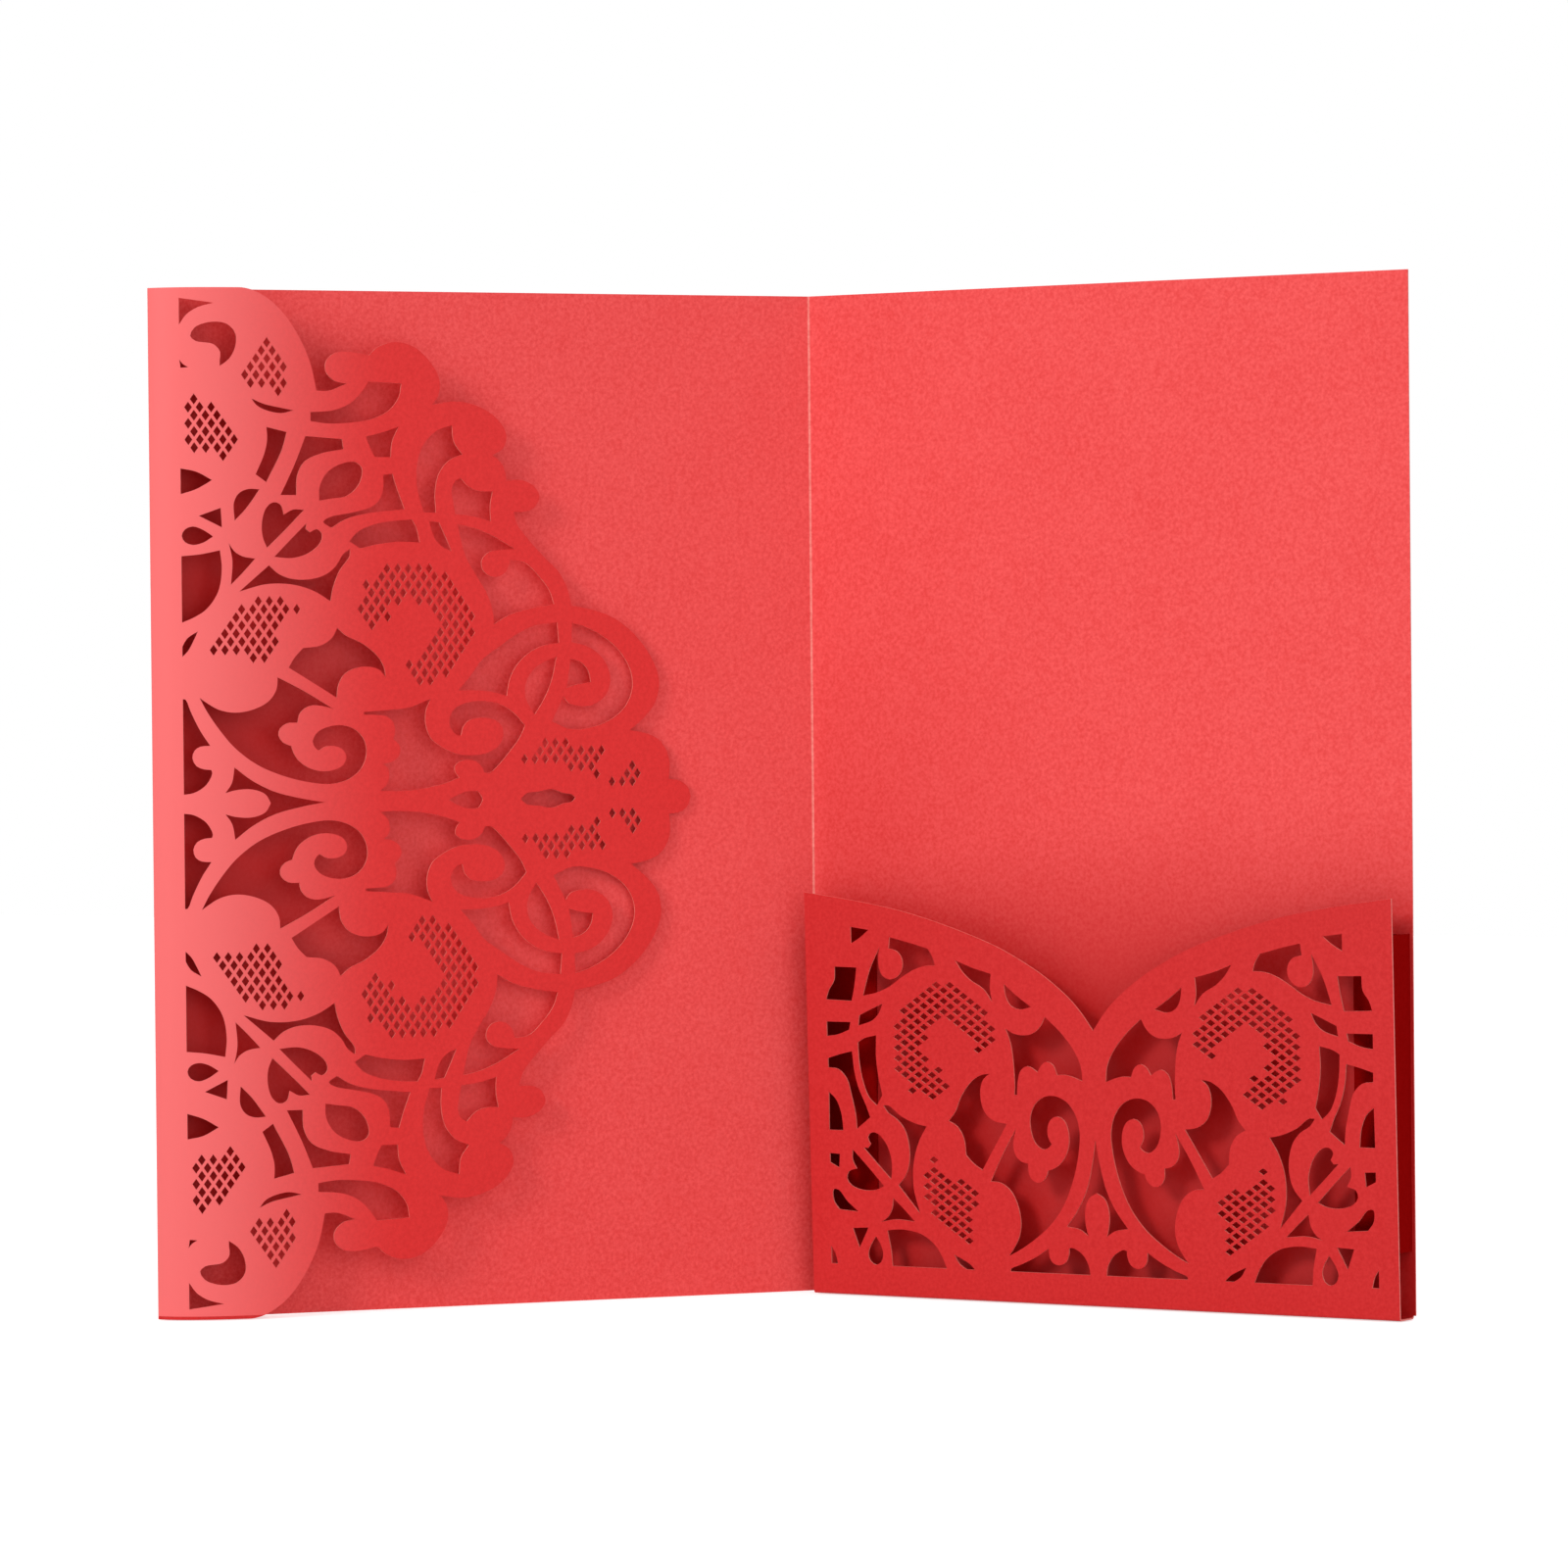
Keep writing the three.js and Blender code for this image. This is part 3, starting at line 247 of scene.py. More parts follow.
FLAP_ONLY = {
    "corner_triangle": [
        (5.7, 90.6, CORNER), (11.9, 89.7, CORNER), (9.0, 88.9), (7.0, 87.6),
        (5.7, 85.8, CORNER),
    ],
    "comma": [
        (8.6, 82.9), (7.7, 83.8), (8.5, 85.3), (11.5, 86.3), (14.3, 85.9),
        (15.8, 84.2), (15.7, 81.7), (14.6, 79.7), (12.9, 78.4, CORNER), (12.9, 79.5),
        (13.0, 80.9), (11.8, 82.3),
    ],
    "speck": [
        (5.7, 79.6, CORNER), (6.3, 78.8), (7.3, 78.2, CORNER), (5.9, 78.1, CORNER),
    ],
    "side_triangle": [
        (5.7, 60.1, CORNER), (8.5, 59.5), (11.3, 58.0, CORNER), (8.5, 56.4),
        (5.7, 55.5, CORNER),
    ],
    "corner_slit": [
        (18.6, 72.6, CORNER), (20.7, 71.7), (26.4, 70.5, CORNER), (24.0, 70.0),
        (21.0, 70.6), (19.4, 71.5),
    ],
    "side_quad": [
        (21.3, 67.5, CORNER), (25.1, 66.6, CORNER), (24.2, 63.5), (21.2, 57.6, CORNER),
        (19.2, 59.0, CORNER), (20.8, 62.6), (21.4, 65.2),
    ],
    "leaf_window": [
        (15.3, 50.7, CORNER), (15.2, 54.0), (16.2, 55.7), (18.0, 56.4),
        (19.9, 56.3, CORNER), (17.5, 53.0),
    ],
    "arch_window": [
        (23.8, 55.3, CORNER), (26.5, 60.8), (28.6, 65.9, CORNER), (35.6, 65.4, CORNER),
        (35.9, 63.6, CORNER), (31.6, 62.8), (28.4, 61.3), (27.0, 58.8),
        (26.8, 55.3, CORNER),
    ],
    "curl_window": [
        (31.1, 54.3, CORNER), (31.2, 56.8), (32.7, 59.4), (35.0, 60.8), (38.0, 61.3),
        (39.4, 60.2), (39.2, 58.2), (38.1, 56.4), (36.2, 55.1), (33.6, 54.7),
    ],
    "key_window": [
        (40.2, 65.9, CORNER), (43.2, 66.6), (46.6, 67.7, CORNER), (45.3, 65.0),
        (45.0, 62.2, CORNER), (41.9, 62.2, CORNER), (41.0, 63.8),
    ],
    "sweep_window": [
        (29.6, 70.2, CORNER), (34.0, 70.6), (37.3, 71.9), (39.4, 73.9),
        (40.8, 75.8, CORNER), (47.2, 75.5, CORNER), (46.7, 73.1), (44.8, 70.7),
        (41.5, 69.1), (37.5, 68.4), (33.0, 68.2), (29.6, 68.6, CORNER),
    ],
    "petal_room": [
        (47.6, 52.8, CORNER), (46.2, 56.4), (45.3, 59.2, CORNER), (43.5, 59.0, CORNER),
        (43.4, 56.2), (42.4, 54.1), (40.4, 52.9), (37.0, 52.1), (33.0, 51.3),
        (31.8, 50.5), (33.4, 49.4, CORNER), (36.0, 50.9), (39.6, 51.9),
    ],
    "crescent": [
        (51.3, 52.2, CORNER), (50.2, 56.0), (50.0, 60.4), (51.1, 64.0), (53.6, 66.8),
        (57.0, 68.1, CORNER), (57.4, 65.0), (59.0, 62.8, CORNER), (56.4, 61.7),
        (54.4, 59.3), (53.6, 56.0), (53.7, 52.2, CORNER),
    ],
    "cheek": [
        (57.0, 54.6, CORNER), (56.8, 56.4), (57.6, 58.0), (58.6, 58.5, CORNER),
        (60.4, 56.8), (62.4, 56.1), (64.9, 56.1, CORNER), (64.4, 53.4),
        (64.5, 50.6, CORNER), (61.5, 51.4), (57.5, 51.9, CORNER),
    ],
    "loop_room": [
        (57.9, 50.1, CORNER), (61.5, 49.3), (65.0, 47.9), (69.2, 45.6, CORNER),
        (66.2, 45.4), (64.0, 45.0), (62.6, 43.5), (62.9, 41.7), (64.4, 40.6),
        (66.5, 40.8), (67.7, 42.0), (68.2, 43.6, CORNER), (71.0, 43.2), (73.8, 40.8),
        (76.0, 38.0), (76.9, 35.5, CORNER), (72.0, 34.7), (68.0, 33.6),
        (64.9, 31.9, CORNER), (64.6, 34.6), (63.3, 38.0), (61.2, 41.2), (59.3, 44.6),
    ],
    "ring_outside": [
        (57.7, 19.9, CORNER), (60.2, 22.6), (62.4, 25.4), (66.0, 27.9), (69.6, 30.2),
        (73.2, 31.7), (77.5, 32.2, CORNER), (77.8, 28.4, CORNER), (74.8, 28.0),
        (71.9, 26.7), (69.5, 24.6), (68.0, 22.0), (67.3, 18.8, CORNER), (64.8, 19.5),
        (61.3, 19.9),
    ],
    "ring_inside": [
        (80.4, 32.1, CORNER), (83.4, 31.2), (87.2, 29.2), (90.3, 26.4), (92.2, 23.0),
        (92.4, 19.8), (90.9, 16.6), (88.0, 14.3), (84.0, 12.9), (80.0, 12.6),
        (76.2, 14.1, CORNER), (77.5, 16.6), (78.6, 18.7, CORNER), (79.6, 17.4),
        (82.0, 16.8), (84.6, 17.1), (87.0, 18.8), (88.0, 21.5), (87.3, 24.3),
        (85.4, 26.6), (83.0, 27.9), (80.3, 28.5, CORNER),
    ],
    "ring_petal": [
        (77.3, 25.9, CORNER), (74.8, 25.0), (72.3, 23.3), (71.0, 20.9), (71.1, 18.2),
        (72.8, 15.3, CORNER), (74.8, 18.3), (76.3, 21.7),
    ],
    "ring_quarter": [
        (80.0, 25.6, CORNER), (82.2, 24.8), (83.6, 23.3), (84.1, 21.2, CORNER),
        (81.2, 20.8), (79.2, 20.2, CORNER), (79.7, 23.0),
    ],
    "centre_room": [
        (39.3, 16.2, CORNER), (44.0, 16.5), (48.0, 16.9), (52.3, 18.4, CORNER),
        (51.4, 16.4), (51.3, 13.8), (52.3, 11.3), (54.2, 9.8), (57.0, 8.5),
        (60.0, 8.1), (63.0, 8.4), (65.3, 9.5), (66.5, 11.4), (66.3, 13.2),
        (64.8, 14.5), (62.0, 14.9), (59.7, 14.4), (58.5, 13.0), (58.2, 11.7),
        (57.2, 11.9), (56.1, 13.2), (56.0, 15.0), (57.1, 16.7), (59.5, 17.7),
        (63.0, 17.9), (66.2, 17.2), (68.7, 15.7), (70.9, 13.4, CORNER), (69.9, 11.3),
        (67.8, 8.7), (65.6, 6.3), (63.9, 4.9), (62.7, 4.9, CORNER), (62.2, 6.0),
        (61.2, 6.9), (59.6, 7.3), (57.9, 7.0), (56.9, 6.1), (57.1, 4.9),
        (57.8, 4.1, CORNER), (55.0, 3.1), (50.0, 2.1), (45.5, 1.8),
        (42.3, 1.9, CORNER), (43.7, 3.2), (44.1, 4.7), (43.8, 6.0),
        (42.8, 6.8, CORNER), (44.8, 7.2), (46.0, 8.2), (46.3, 9.5), (45.7, 10.6),
        (44.9, 11.2, CORNER), (45.3, 12.7), (45.0, 14.2), (43.8, 15.3), (42.0, 15.6),
        (39.3, 15.7, CORNER),
    ],
}
POCKET_ONLY = {
    "v_room": [
        (40.8, 2.4, CORNER), (43.5, 2.7), (46.4, 4.1), (49.5, 6.7),
        (52.4, 10.0, CORNER), (50.5, 11.1), (49.2, 12.8), (48.9, 15.0), (49.3, 17.0),
        (50.1, 18.4, CORNER), (47.5, 17.4), (44.0, 16.9), (40.0, 16.7),
        (38.0, 16.8, CORNER), (38.0, 16.2, CORNER), (40.5, 16.0), (42.5, 15.3),
        (43.3, 14.0), (42.9, 12.8), (42.2, 11.8, CORNER), (43.5, 11.0), (44.2, 9.8),
        (43.6, 8.5), (41.8, 7.7, CORNER), (41.9, 6.2), (41.6, 4.6),
    ],
    "v_drop": [
        (54.1, 12.8, CORNER), (55.8, 15.4), (58.2, 18.5, CORNER), (56.0, 18.2),
        (54.3, 17.2), (53.6, 15.4),
    ],
    "v_triangle": [
        (60.0, 21.2, CORNER), (61.0, 25.0), (62.4, 28.8, CORNER), (60.3, 27.3),
        (58.7, 25.5), (57.2, 22.9), (54.8, 21.0, CORNER), (57.2, 21.4),
    ],
    "lobe_room": [
        (61.3, 33.0, CORNER), (62.8, 33.5), (64.4, 34.5, CORNER), (65.4, 38.3),
        (66.4, 42.7, CORNER), (64.3, 43.0, CORNER), (63.8, 41.2), (62.3, 40.1),
        (60.5, 40.2), (59.1, 41.3), (58.6, 42.9), (59.3, 44.4), (60.7, 45.1),
        (62.5, 45.2), (64.6, 44.9, CORNER), (60.5, 47.1), (55.5, 48.8, CORNER),
        (56.2, 45.6), (57.4, 42.8), (59.1, 40.2), (60.5, 37.6), (61.2, 35.3),
    ],
    "top_triangle": [
        (67.7, 47.2, CORNER), (68.2, 51.1, CORNER), (65.1, 51.1, CORNER), (66.3, 49.0),
    ],
    "side_window": [
        (60.7, 50.0, CORNER), (60.8, 54.8, CORNER), (58.2, 55.0), (56.4, 56.2),
        (54.7, 56.8, CORNER), (54.5, 51.2, CORNER), (57.5, 50.5),
    ],
    "side_bar": [
        (50.6, 51.6, CORNER), (50.6, 56.8, CORNER), (47.9, 56.8, CORNER), (48.3, 54.3),
        (49.2, 51.9, CORNER),
    ],
    "side_slot": [
        (45.2, 51.4, CORNER), (44.6, 54.0), (43.8, 56.7, CORNER), (42.1, 56.7, CORNER),
        (41.8, 54.5), (40.0, 52.7), (37.0, 51.8), (33.5, 51.0), (30.8, 50.8, CORNER),
        (32.0, 49.2), (33.1, 47.8, CORNER), (35.4, 48.7), (38.3, 50.1), (41.6, 51.0),
    ],
    "side_curl": [
        (30.5, 53.7, CORNER), (30.5, 56.8, CORNER), (37.6, 56.7, CORNER), (36.3, 55.2),
        (33.8, 54.1),
    ],
    "side_stub": [
        (26.1, 54.6, CORNER), (26.2, 56.8, CORNER), (24.5, 56.8, CORNER),
        (23.5, 54.8, CORNER),
    ],
    "side_leaf": [
        (15.5, 50.8, CORNER), (17.4, 53.2), (19.4, 55.0), (19.5, 56.2), (17.4, 56.2),
        (15.8, 55.0, CORNER),
    ],
    "foot_sliver": [
        (5.7, 55.6, CORNER), (7.6, 56.1), (9.0, 57.0, CORNER), (5.7, 57.0, CORNER),
    ],
}
PETAL_ROOM = [
    (31.6, 0.0, CORNER), (27.0, 0.8), (22.0, 2.1), (18.0, 4.1), (14.8, 6.5, CORNER),
    (14.3, 3.7), (13.1, 1.9, CORNER), (15.0, 2.4), (18.0, 2.5), (20.4, 1.6),
    (21.4, 0.0),
]
SMALL_LENS = [
    (55.6, 0.0, CORNER), (57.6, 1.0), (59.8, 1.6), (61.6, 1.4), (62.4, 0.0),
]
LONG_LENS = [
    (69.9, 0.0, CORNER), (71.0, 1.0), (73.5, 1.3), (76.0, 1.7), (78.5, 0.9),
    (80.0, 0.7), (80.8, 0.0),
]
SIDE_NET = [
    (5.8, 74.2), (9.2, 73.8), (13.0, 71.6), (15.6, 68.8), (16.4, 65.5), (16.0, 61.8),
    (13.4, 59.6), (11.0, 61.9), (8.2, 62.8), (5.8, 63.2),
]
CORNER_NET = [
    (14.4, 75.6), (17.5, 78.4), (19.4, 82.3), (19.8, 85.6), (22.6, 82.6), (25.2, 79.4),
    (26.5, 76.0), (26.2, 73.2), (22.5, 72.8), (18.0, 74.0),
]
LEAF_NET = [
    (7.4, 22.6), (9.8, 25.6), (15.0, 26.2), (20.2, 24.4), (22.0, 24.8), (24.4, 27.9),
    (23.0, 30.5), (24.2, 32.0), (29.6, 33.8), (27.2, 36.2), (22.0, 38.0), (16.0, 36.6),
    (13.2, 33.2), (10.4, 28.8), (7.2, 24.2),
]
FLOWER_NET = [
    (39.6, 30.4), (37.6, 34.6), (38.8, 39.6), (43.2, 43.0), (49.0, 44.2), (54.6, 42.4),
    (59.0, 38.4), (61.4, 33.6), (61.2, 28.4), (59.0, 24.6), (54.6, 21.6), (49.6, 19.4),
    (45.8, 18.6), (48.0, 22.0), (45.4, 26.6), (49.0, 26.2), (51.8, 28.0), (53.0, 31.0),
    (52.0, 34.0), (49.0, 35.8), (45.4, 34.8), (44.2, 31.8),
]
CREST_NET = [
    (67.4, 2.9), (70.0, 7.6), (74.0, 11.4), (87.8, 10.8), (85.4, 4.6), (90.4, 4.9),
    (92.6, 8.0), (95.0, 6.4), (93.0, 2.0), (88.0, 1.0), (84.6, 3.4), (79.4, 4.2),
    (77.0, 6.2), (72.0, 6.0),
]
FLAP_EDGE = [
    (0.0, 92.5, CORNER), (9.0, 92.5), (17.6, 92.4), (20.6, 91.3), (24.0, 88.7),
    (27.2, 84.4), (29.6, 79.2), (30.8, 74.1, CORNER), (33.2, 74.1),
    (36.6, 75.4, CORNER), (34.2, 75.9), (32.6, 77.6), (32.7, 79.4), (34.4, 80.9),
    (37.4, 81.1), (40.9, 80.5, CORNER), (42.6, 82.0), (46.0, 83.0), (49.8, 82.1),
    (53.0, 79.3), (54.7, 75.9), (54.3, 73.3), (53.1, 71.7, CORNER), (57.6, 72.4),
    (62.2, 71.5), (65.9, 69.3), (67.7, 66.4), (67.0, 63.9), (64.9, 62.7, CORNER),
    (66.5, 61.4), (67.5, 59.4), (67.6, 58.0, CORNER), (70.4, 58.2), (73.0, 57.1),
    (74.2, 55.2), (72.9, 53.0), (70.8, 52.4), (69.0, 52.4, CORNER), (69.6, 50.2),
    (72.0, 47.2), (75.2, 43.9), (78.0, 41.2), (79.7, 37.9), (80.3, 35.2, CORNER),
    (84.8, 34.4), (89.4, 32.6), (93.4, 29.4), (96.4, 25.4), (97.8, 21.4), (97.1, 17.6),
    (95.0, 14.9), (91.8, 12.3, CORNER), (94.6, 11.8), (97.2, 10.8), (99.0, 8.8),
    (99.8, 6.2), (99.6, 3.2, CORNER), (101.8, 2.9), (103.4, 1.7), (104.0, 0.0),
]
POCKET_EDGE = [
    (50.0, 0.0, CORNER), (53.3, 2.5), (55.9, 5.0), (59.7, 10.0), (62.6, 15.0),
    (65.0, 20.0), (68.5, 30.0), (71.2, 40.0), (73.0, 50.0), (74.5, 61.0, CORNER),
]

# The patches of net that the flap has, and those that the pocket repeats.
NETS = (SIDE_NET, CORNER_NET, LEAF_NET, FLOWER_NET, CREST_NET)
POCKET_NETS = (LEAF_NET, FLOWER_NET)


def catmull(before, start, end, after, t):
    """Return the point at a share t of the way from start to end on a centripetal curve."""
    gaps = [
        max(math.dist(a, b), LEAST_GAP) ** 0.5
        for a, b in ((before, start), (start, end), (end, after))
    ]

    def tangent(a, b, c, near, far):
        return [
            (b[k] - a[k]) / near - (c[k] - a[k]) / (near + far) + (c[k] - b[k]) / far
            for k in (0, 1)
        ]

    leave = tangent(before, start, end, gaps[0], gaps[1])
    arrive = tangent(start, end, after, gaps[1], gaps[2])
    return tuple(
        (2 * t**3 - 3 * t**2 + 1) * start[k]
        + (t**3 - 2 * t**2 + t) * gaps[1] * leave[k]
        + (3 * t**2 - 2 * t**3) * end[k]
        + (t**3 - t**2) * gaps[1] * arrive[k]
        for k in (0, 1)
    )


def trace(outline, closed, step):
    """Return points along an outline, smooth between its corners."""
    points = [entry[:2] for entry in outline]
    count = len(points)
    corners = [i for i, entry in enumerate(outline) if len(entry) > 2]
    first = corners[0] if closed and corners else 0
    last = first + count if closed else count - 1
    ring = closed and not corners
    result = []
    for i in range(first, last):
        start, end = points[i % count], points[(i + 1) % count]
        sharp_start = not ring and (i % count in corners or (not closed and i == 0))
        sharp_end = not ring and (
            (i + 1) % count in corners or (not closed and i + 1 == last)
        )
        before = points[(i - 1) % count]
        after = points[(i + 2) % count]
        if sharp_start:
            before = (2 * start[0] - end[0], 2 * start[1] - end[1])
        if sharp_end:
            after = (2 * end[0] - start[0], 2 * end[1] - start[1])
        straight = sharp_start and sharp_end
        steps = 1 if straight else max(2, round(math.dist(start, end) / step))
        for k in range(steps):
            result.append(catmull(before, start, end, after, k / steps))
    if not closed:
        result.append(points[-1])
    return result


def flip(polygon):
    """Return a polygon on the other side of the middle line."""
    return [(a, -b) for a, b in polygon]


def mirrored(half):
    """Return a half outline that starts and ends on the middle line, made whole."""
    return half + flip(half[1:-1])[::-1]


def both_sides(polygons):
    """Return polygons and their mirror images."""
    return polygons + [flip(polygon) for polygon in polygons]


def doubled_area(polygon):
    """Return twice a polygon's area, below zero where it runs clockwise."""
    ends = zip(polygon, polygon[1:] + polygon[:1])
    return sum(a0 * b1 - a1 * b0 for (a0, b0), (a1, b1) in ends)


def inside(polygon, a, b):
    """Tell whether a point lies inside a polygon."""
    hit = False
    for (a0, b0), (a1, b1) in zip(polygon, polygon[1:] + polygon[:1]):
        if (b0 > b) != (b1 > b) and a < a0 + (b - b0) / (b1 - b0) * (a1 - a0):
            hit = not hit
    return hit


class FoldPath:
    """A line of straight runs seen from its end, with headings and flat positions."""

    def __init__(self, x, y, heading):
        self.points = [Vector((x, y))]
        self.flat = [0.0]
        self.heading = heading

    def go(self, length):
        """Run straight on."""
        ahead = Vector((math.cos(self.heading), math.sin(self.heading)))
        self.points.append(self.points[-1] + ahead * length)
        self.flat.append(self.flat[-1] + length)

    def bend(self, turn, radius, steps):
        """Turn along an arc in equal chords."""
        for _ in range(steps):
            self.heading += turn / steps / 2
            self.go(2 * radius * math.sin(abs(turn) / steps / 2))
            self.heading += turn / steps / 2

    def corner(self, i, offset):
        """Return a corner moved sideways by an offset."""
        count = len(self.points)

        def left(j):
            run = self.points[j + 1] - self.points[j]
            return Vector((-run.y, run.x)).normalized()

        before = left(max(i - 1, 0))
        after = left(min(i, count - 2))
        return self.points[i] + (before + after) / (1 + before.dot(after)) * offset

    def at(self, position, offset):
        """Return the point at a flat position, moved sideways by an offset."""
        i = 0
        while i < len(self.flat) - 2 and position > self.flat[i + 1]:
            i += 1
        share = (position - self.flat[i]) / (self.flat[i + 1] - self.flat[i])
        return self.corner(i, offset).lerp(self.corner(i + 1, offset), share)


class FoldedSheet:
    """The sheet's folds, its flat outline and the way from flat to folded."""

    def __init__(self, sizes):
        self.sizes = sizes
        self.half = sizes.sheet / 2
        turn = math.pi - sizes.opening
        spring = sizes.flap_spring
        length = sizes.flap_spring_length
        sag = (spring * length - sizes.flap_tip_gap) / (sizes.flap_reach - length)
        inset = sizes.right_width - sizes.pocket_inset - sizes.pocket_width
        walk = FoldPath(sizes.right_width, 0.0, math.pi)
        walk.go(inset)
        walk.go(sizes.pocket_width)
        walk.go(sizes.pocket_inset - sizes.fold_radius)
        spine = len(walk.flat)
        walk.bend(turn, sizes.fold_radius * 2, SPINE_BEND_STEPS)
        self.left_start = walk.flat[-1]
        self.crease = (walk.flat[spine], walk.flat[-2])
        walk.go(sizes.left_width - sizes.fold_radius * 2)
        self.left_end = walk.flat[-1]
        walk.bend(math.pi - spring, sizes.fold_radius, FLAP_BEND_STEPS)
        self.flap_start = walk.flat[-1]
        heading = walk.heading
        stops = [0.0]
        while stops[-1] < sizes.flap_reach:
            further = stops[-1] * FLAP_STOP_GROWTH + FLAP_STOP_START
            stops.append(min(sizes.flap_reach, further))
        for near, far in zip(stops, stops[1:]):
            rise = (spring + sag) * math.exp(-(near + far) / 2 / length) - sag
            walk.heading = heading + spring - rise
            walk.go(far - near)
        self.walk = walk
        self.fold_start = self.half + sizes.fold_radius
        climb = FoldPath(0.0, self.fold_start, -math.pi / 2)
        climb.bend(-math.pi / 2, sizes.fold_radius, POCKET_BEND_STEPS)
        climb.go(sizes.pocket_depth - 2 * sizes.fold_radius)
        rest = math.atan(sizes.pocket_lean) - math.pi / 2
        climb.bend(rest, sizes.fold_radius, POCKET_BEND_STEPS)
        self.leaf_start = climb.flat[-1]
        climb.go(sizes.pocket_height * 2)
        self.climb = climb
        self.pocket_middle = inset + sizes.pocket_width / 2
        self.pocket_low = inset
        self.pocket_high = inset + sizes.pocket_width

    def on_flap(self, point):
        """Return the flat position of a point of the flap's drawing."""
        a, b = point
        return (
            self.flap_start + a * self.sizes.flap_reach / DRAWN_REACH,
            self.sizes.height / 2 * (1 + b / DRAWN_HALF),
        )

    def on_pocket(self, point):
        """Return the flat position of a point of the pocket's drawing."""
        a, b = point
        rise = a * self.sizes.pocket_height / DRAWN_POCKET_HEIGHT
        return (
            self.pocket_middle + b * self.sizes.pocket_width / 2 / DRAWN_POCKET_HALF,
            2 * self.fold_start - self.leaf_start - rise,
        )

    def outline(self):
        """Return the outline of the flat sheet."""
        step = self.sizes.curve_step
        flap = trace(FLAP_EDGE, False, step)
        pocket = trace(POCKET_EDGE, False, step)
        whole_flap = flip(flap)[:-1] + flap[::-1]
        whole_pocket = flip(pocket)[::-1] + pocket[1:]
        return (
            [(0.0, self.sizes.height), (0.0, self.fold_start)]
            + [(self.pocket_low, self.fold_start)]
            + [self.on_pocket(point) for point in whole_pocket]
            + [(self.pocket_high, self.fold_start)]
            + [(self.left_start - self.sizes.fold_radius, self.fold_start)]
            + [(self.left_start, 0.0)]
            + [
                self.on_flap((a, max(-DRAWN_HALF, min(DRAWN_HALF, b))))
                for a, b in whole_flap
            ]
        )

    def folded(self, a, b, offset):
        """Return a flat position folded into place, moved off the middle by an offset."""
        in_pocket = self.pocket_low - SEAM_SLACK < a < self.pocket_high + SEAM_SLACK
        if b < self.fold_start - MERGE_GAP and in_pocket:
            side = self.climb.at(self.fold_start - b, -offset)
            return (self.sizes.right_width - a, side.x, side.y)
        plan = self.walk.at(a, offset)
        return (plan.x, plan.y, b)


def lace_windows(sheet, gaps):
    """Return every window of the sheet, in flat positions."""
    step = sheet.sizes.curve_step

    def pairs(shapes):
        return both_sides([trace(shape, True, step) for shape in shapes.values()])

    def middle(outline):
        return mirrored(trace(outline, False, step))

    shared = pairs(MOTIF) + [middle(PETAL_ROOM)]
    flap = pairs(FLAP_ONLY) + [middle(SMALL_LENS), middle(LONG_LENS)]
    pocket = pairs(POCKET_ONLY)
    flap_gaps, pocket_gaps = [], []
    for area in NETS:
        fitting = [gap for gap in gaps if all(inside(area, a, b) for a, b in gap)]
        flap_gaps += both_sides(fitting)
        if area in POCKET_NETS:
            pocket_gaps += both_sides(fitting)

    def narrow(a, b):
        return (
            WINDOW_LINE + (a - WINDOW_LINE) * POCKET_MOTIF_RISE, b * POCKET_MOTIF_WIDTH
        )

    narrowed = [[narrow(a, b) for a, b in polygon] for polygon in shared + pocket_gaps]
    return [
        [place(point) for point in polygon]
        for place, polygons in (
            (sheet.on_flap, shared + flap + flap_gaps),
            (sheet.on_pocket, narrowed + pocket),
        )
        for polygon in polygons
    ]


def link(obj):
    """Put an object into the scene."""
    bpy.context.scene.collection.objects.link(obj)
    return obj


def feed(tree, node, values):
    """Give inputs of a node their values, or link sockets to them."""
    for key, value in values.items():
        if isinstance(value, bpy.types.NodeSocket):
            tree.links.new(value, node.inputs[key])
        else:
            node.inputs[key].default_value = value


def add(tree, kind, values=None, **settings):
    """Add a node with its settings and the values or sockets of its inputs."""
    node = tree.nodes.new(kind)
    for key, value in settings.items():
        setattr(node, key, value)
    feed(tree, node, values or {})
    return node


def maths(tree, operation, *values):
    """Return the result of one sum of sockets or numbers."""
    values = dict(enumerate(values))
    return add(tree, "ShaderNodeMath", values, operation=operation).outputs[0]


def product(tree, result, *others):
    """Return the product of sockets or numbers, the first of them a socket."""
    for other in others:
        result = maths(tree, "MULTIPLY", result, other)
    return result


def new_group(name, kind, inputs, outputs):
    """Return a node group with named sockets."""
    group = bpy.data.node_groups.new(name, kind)
    for direction, sockets in (("INPUT", inputs), ("OUTPUT", outputs)):
        for label, sort in sockets.items():
            group.interface.new_socket(
                name=label, in_out=direction, socket_type="NodeSocket" + sort
            )
    return group


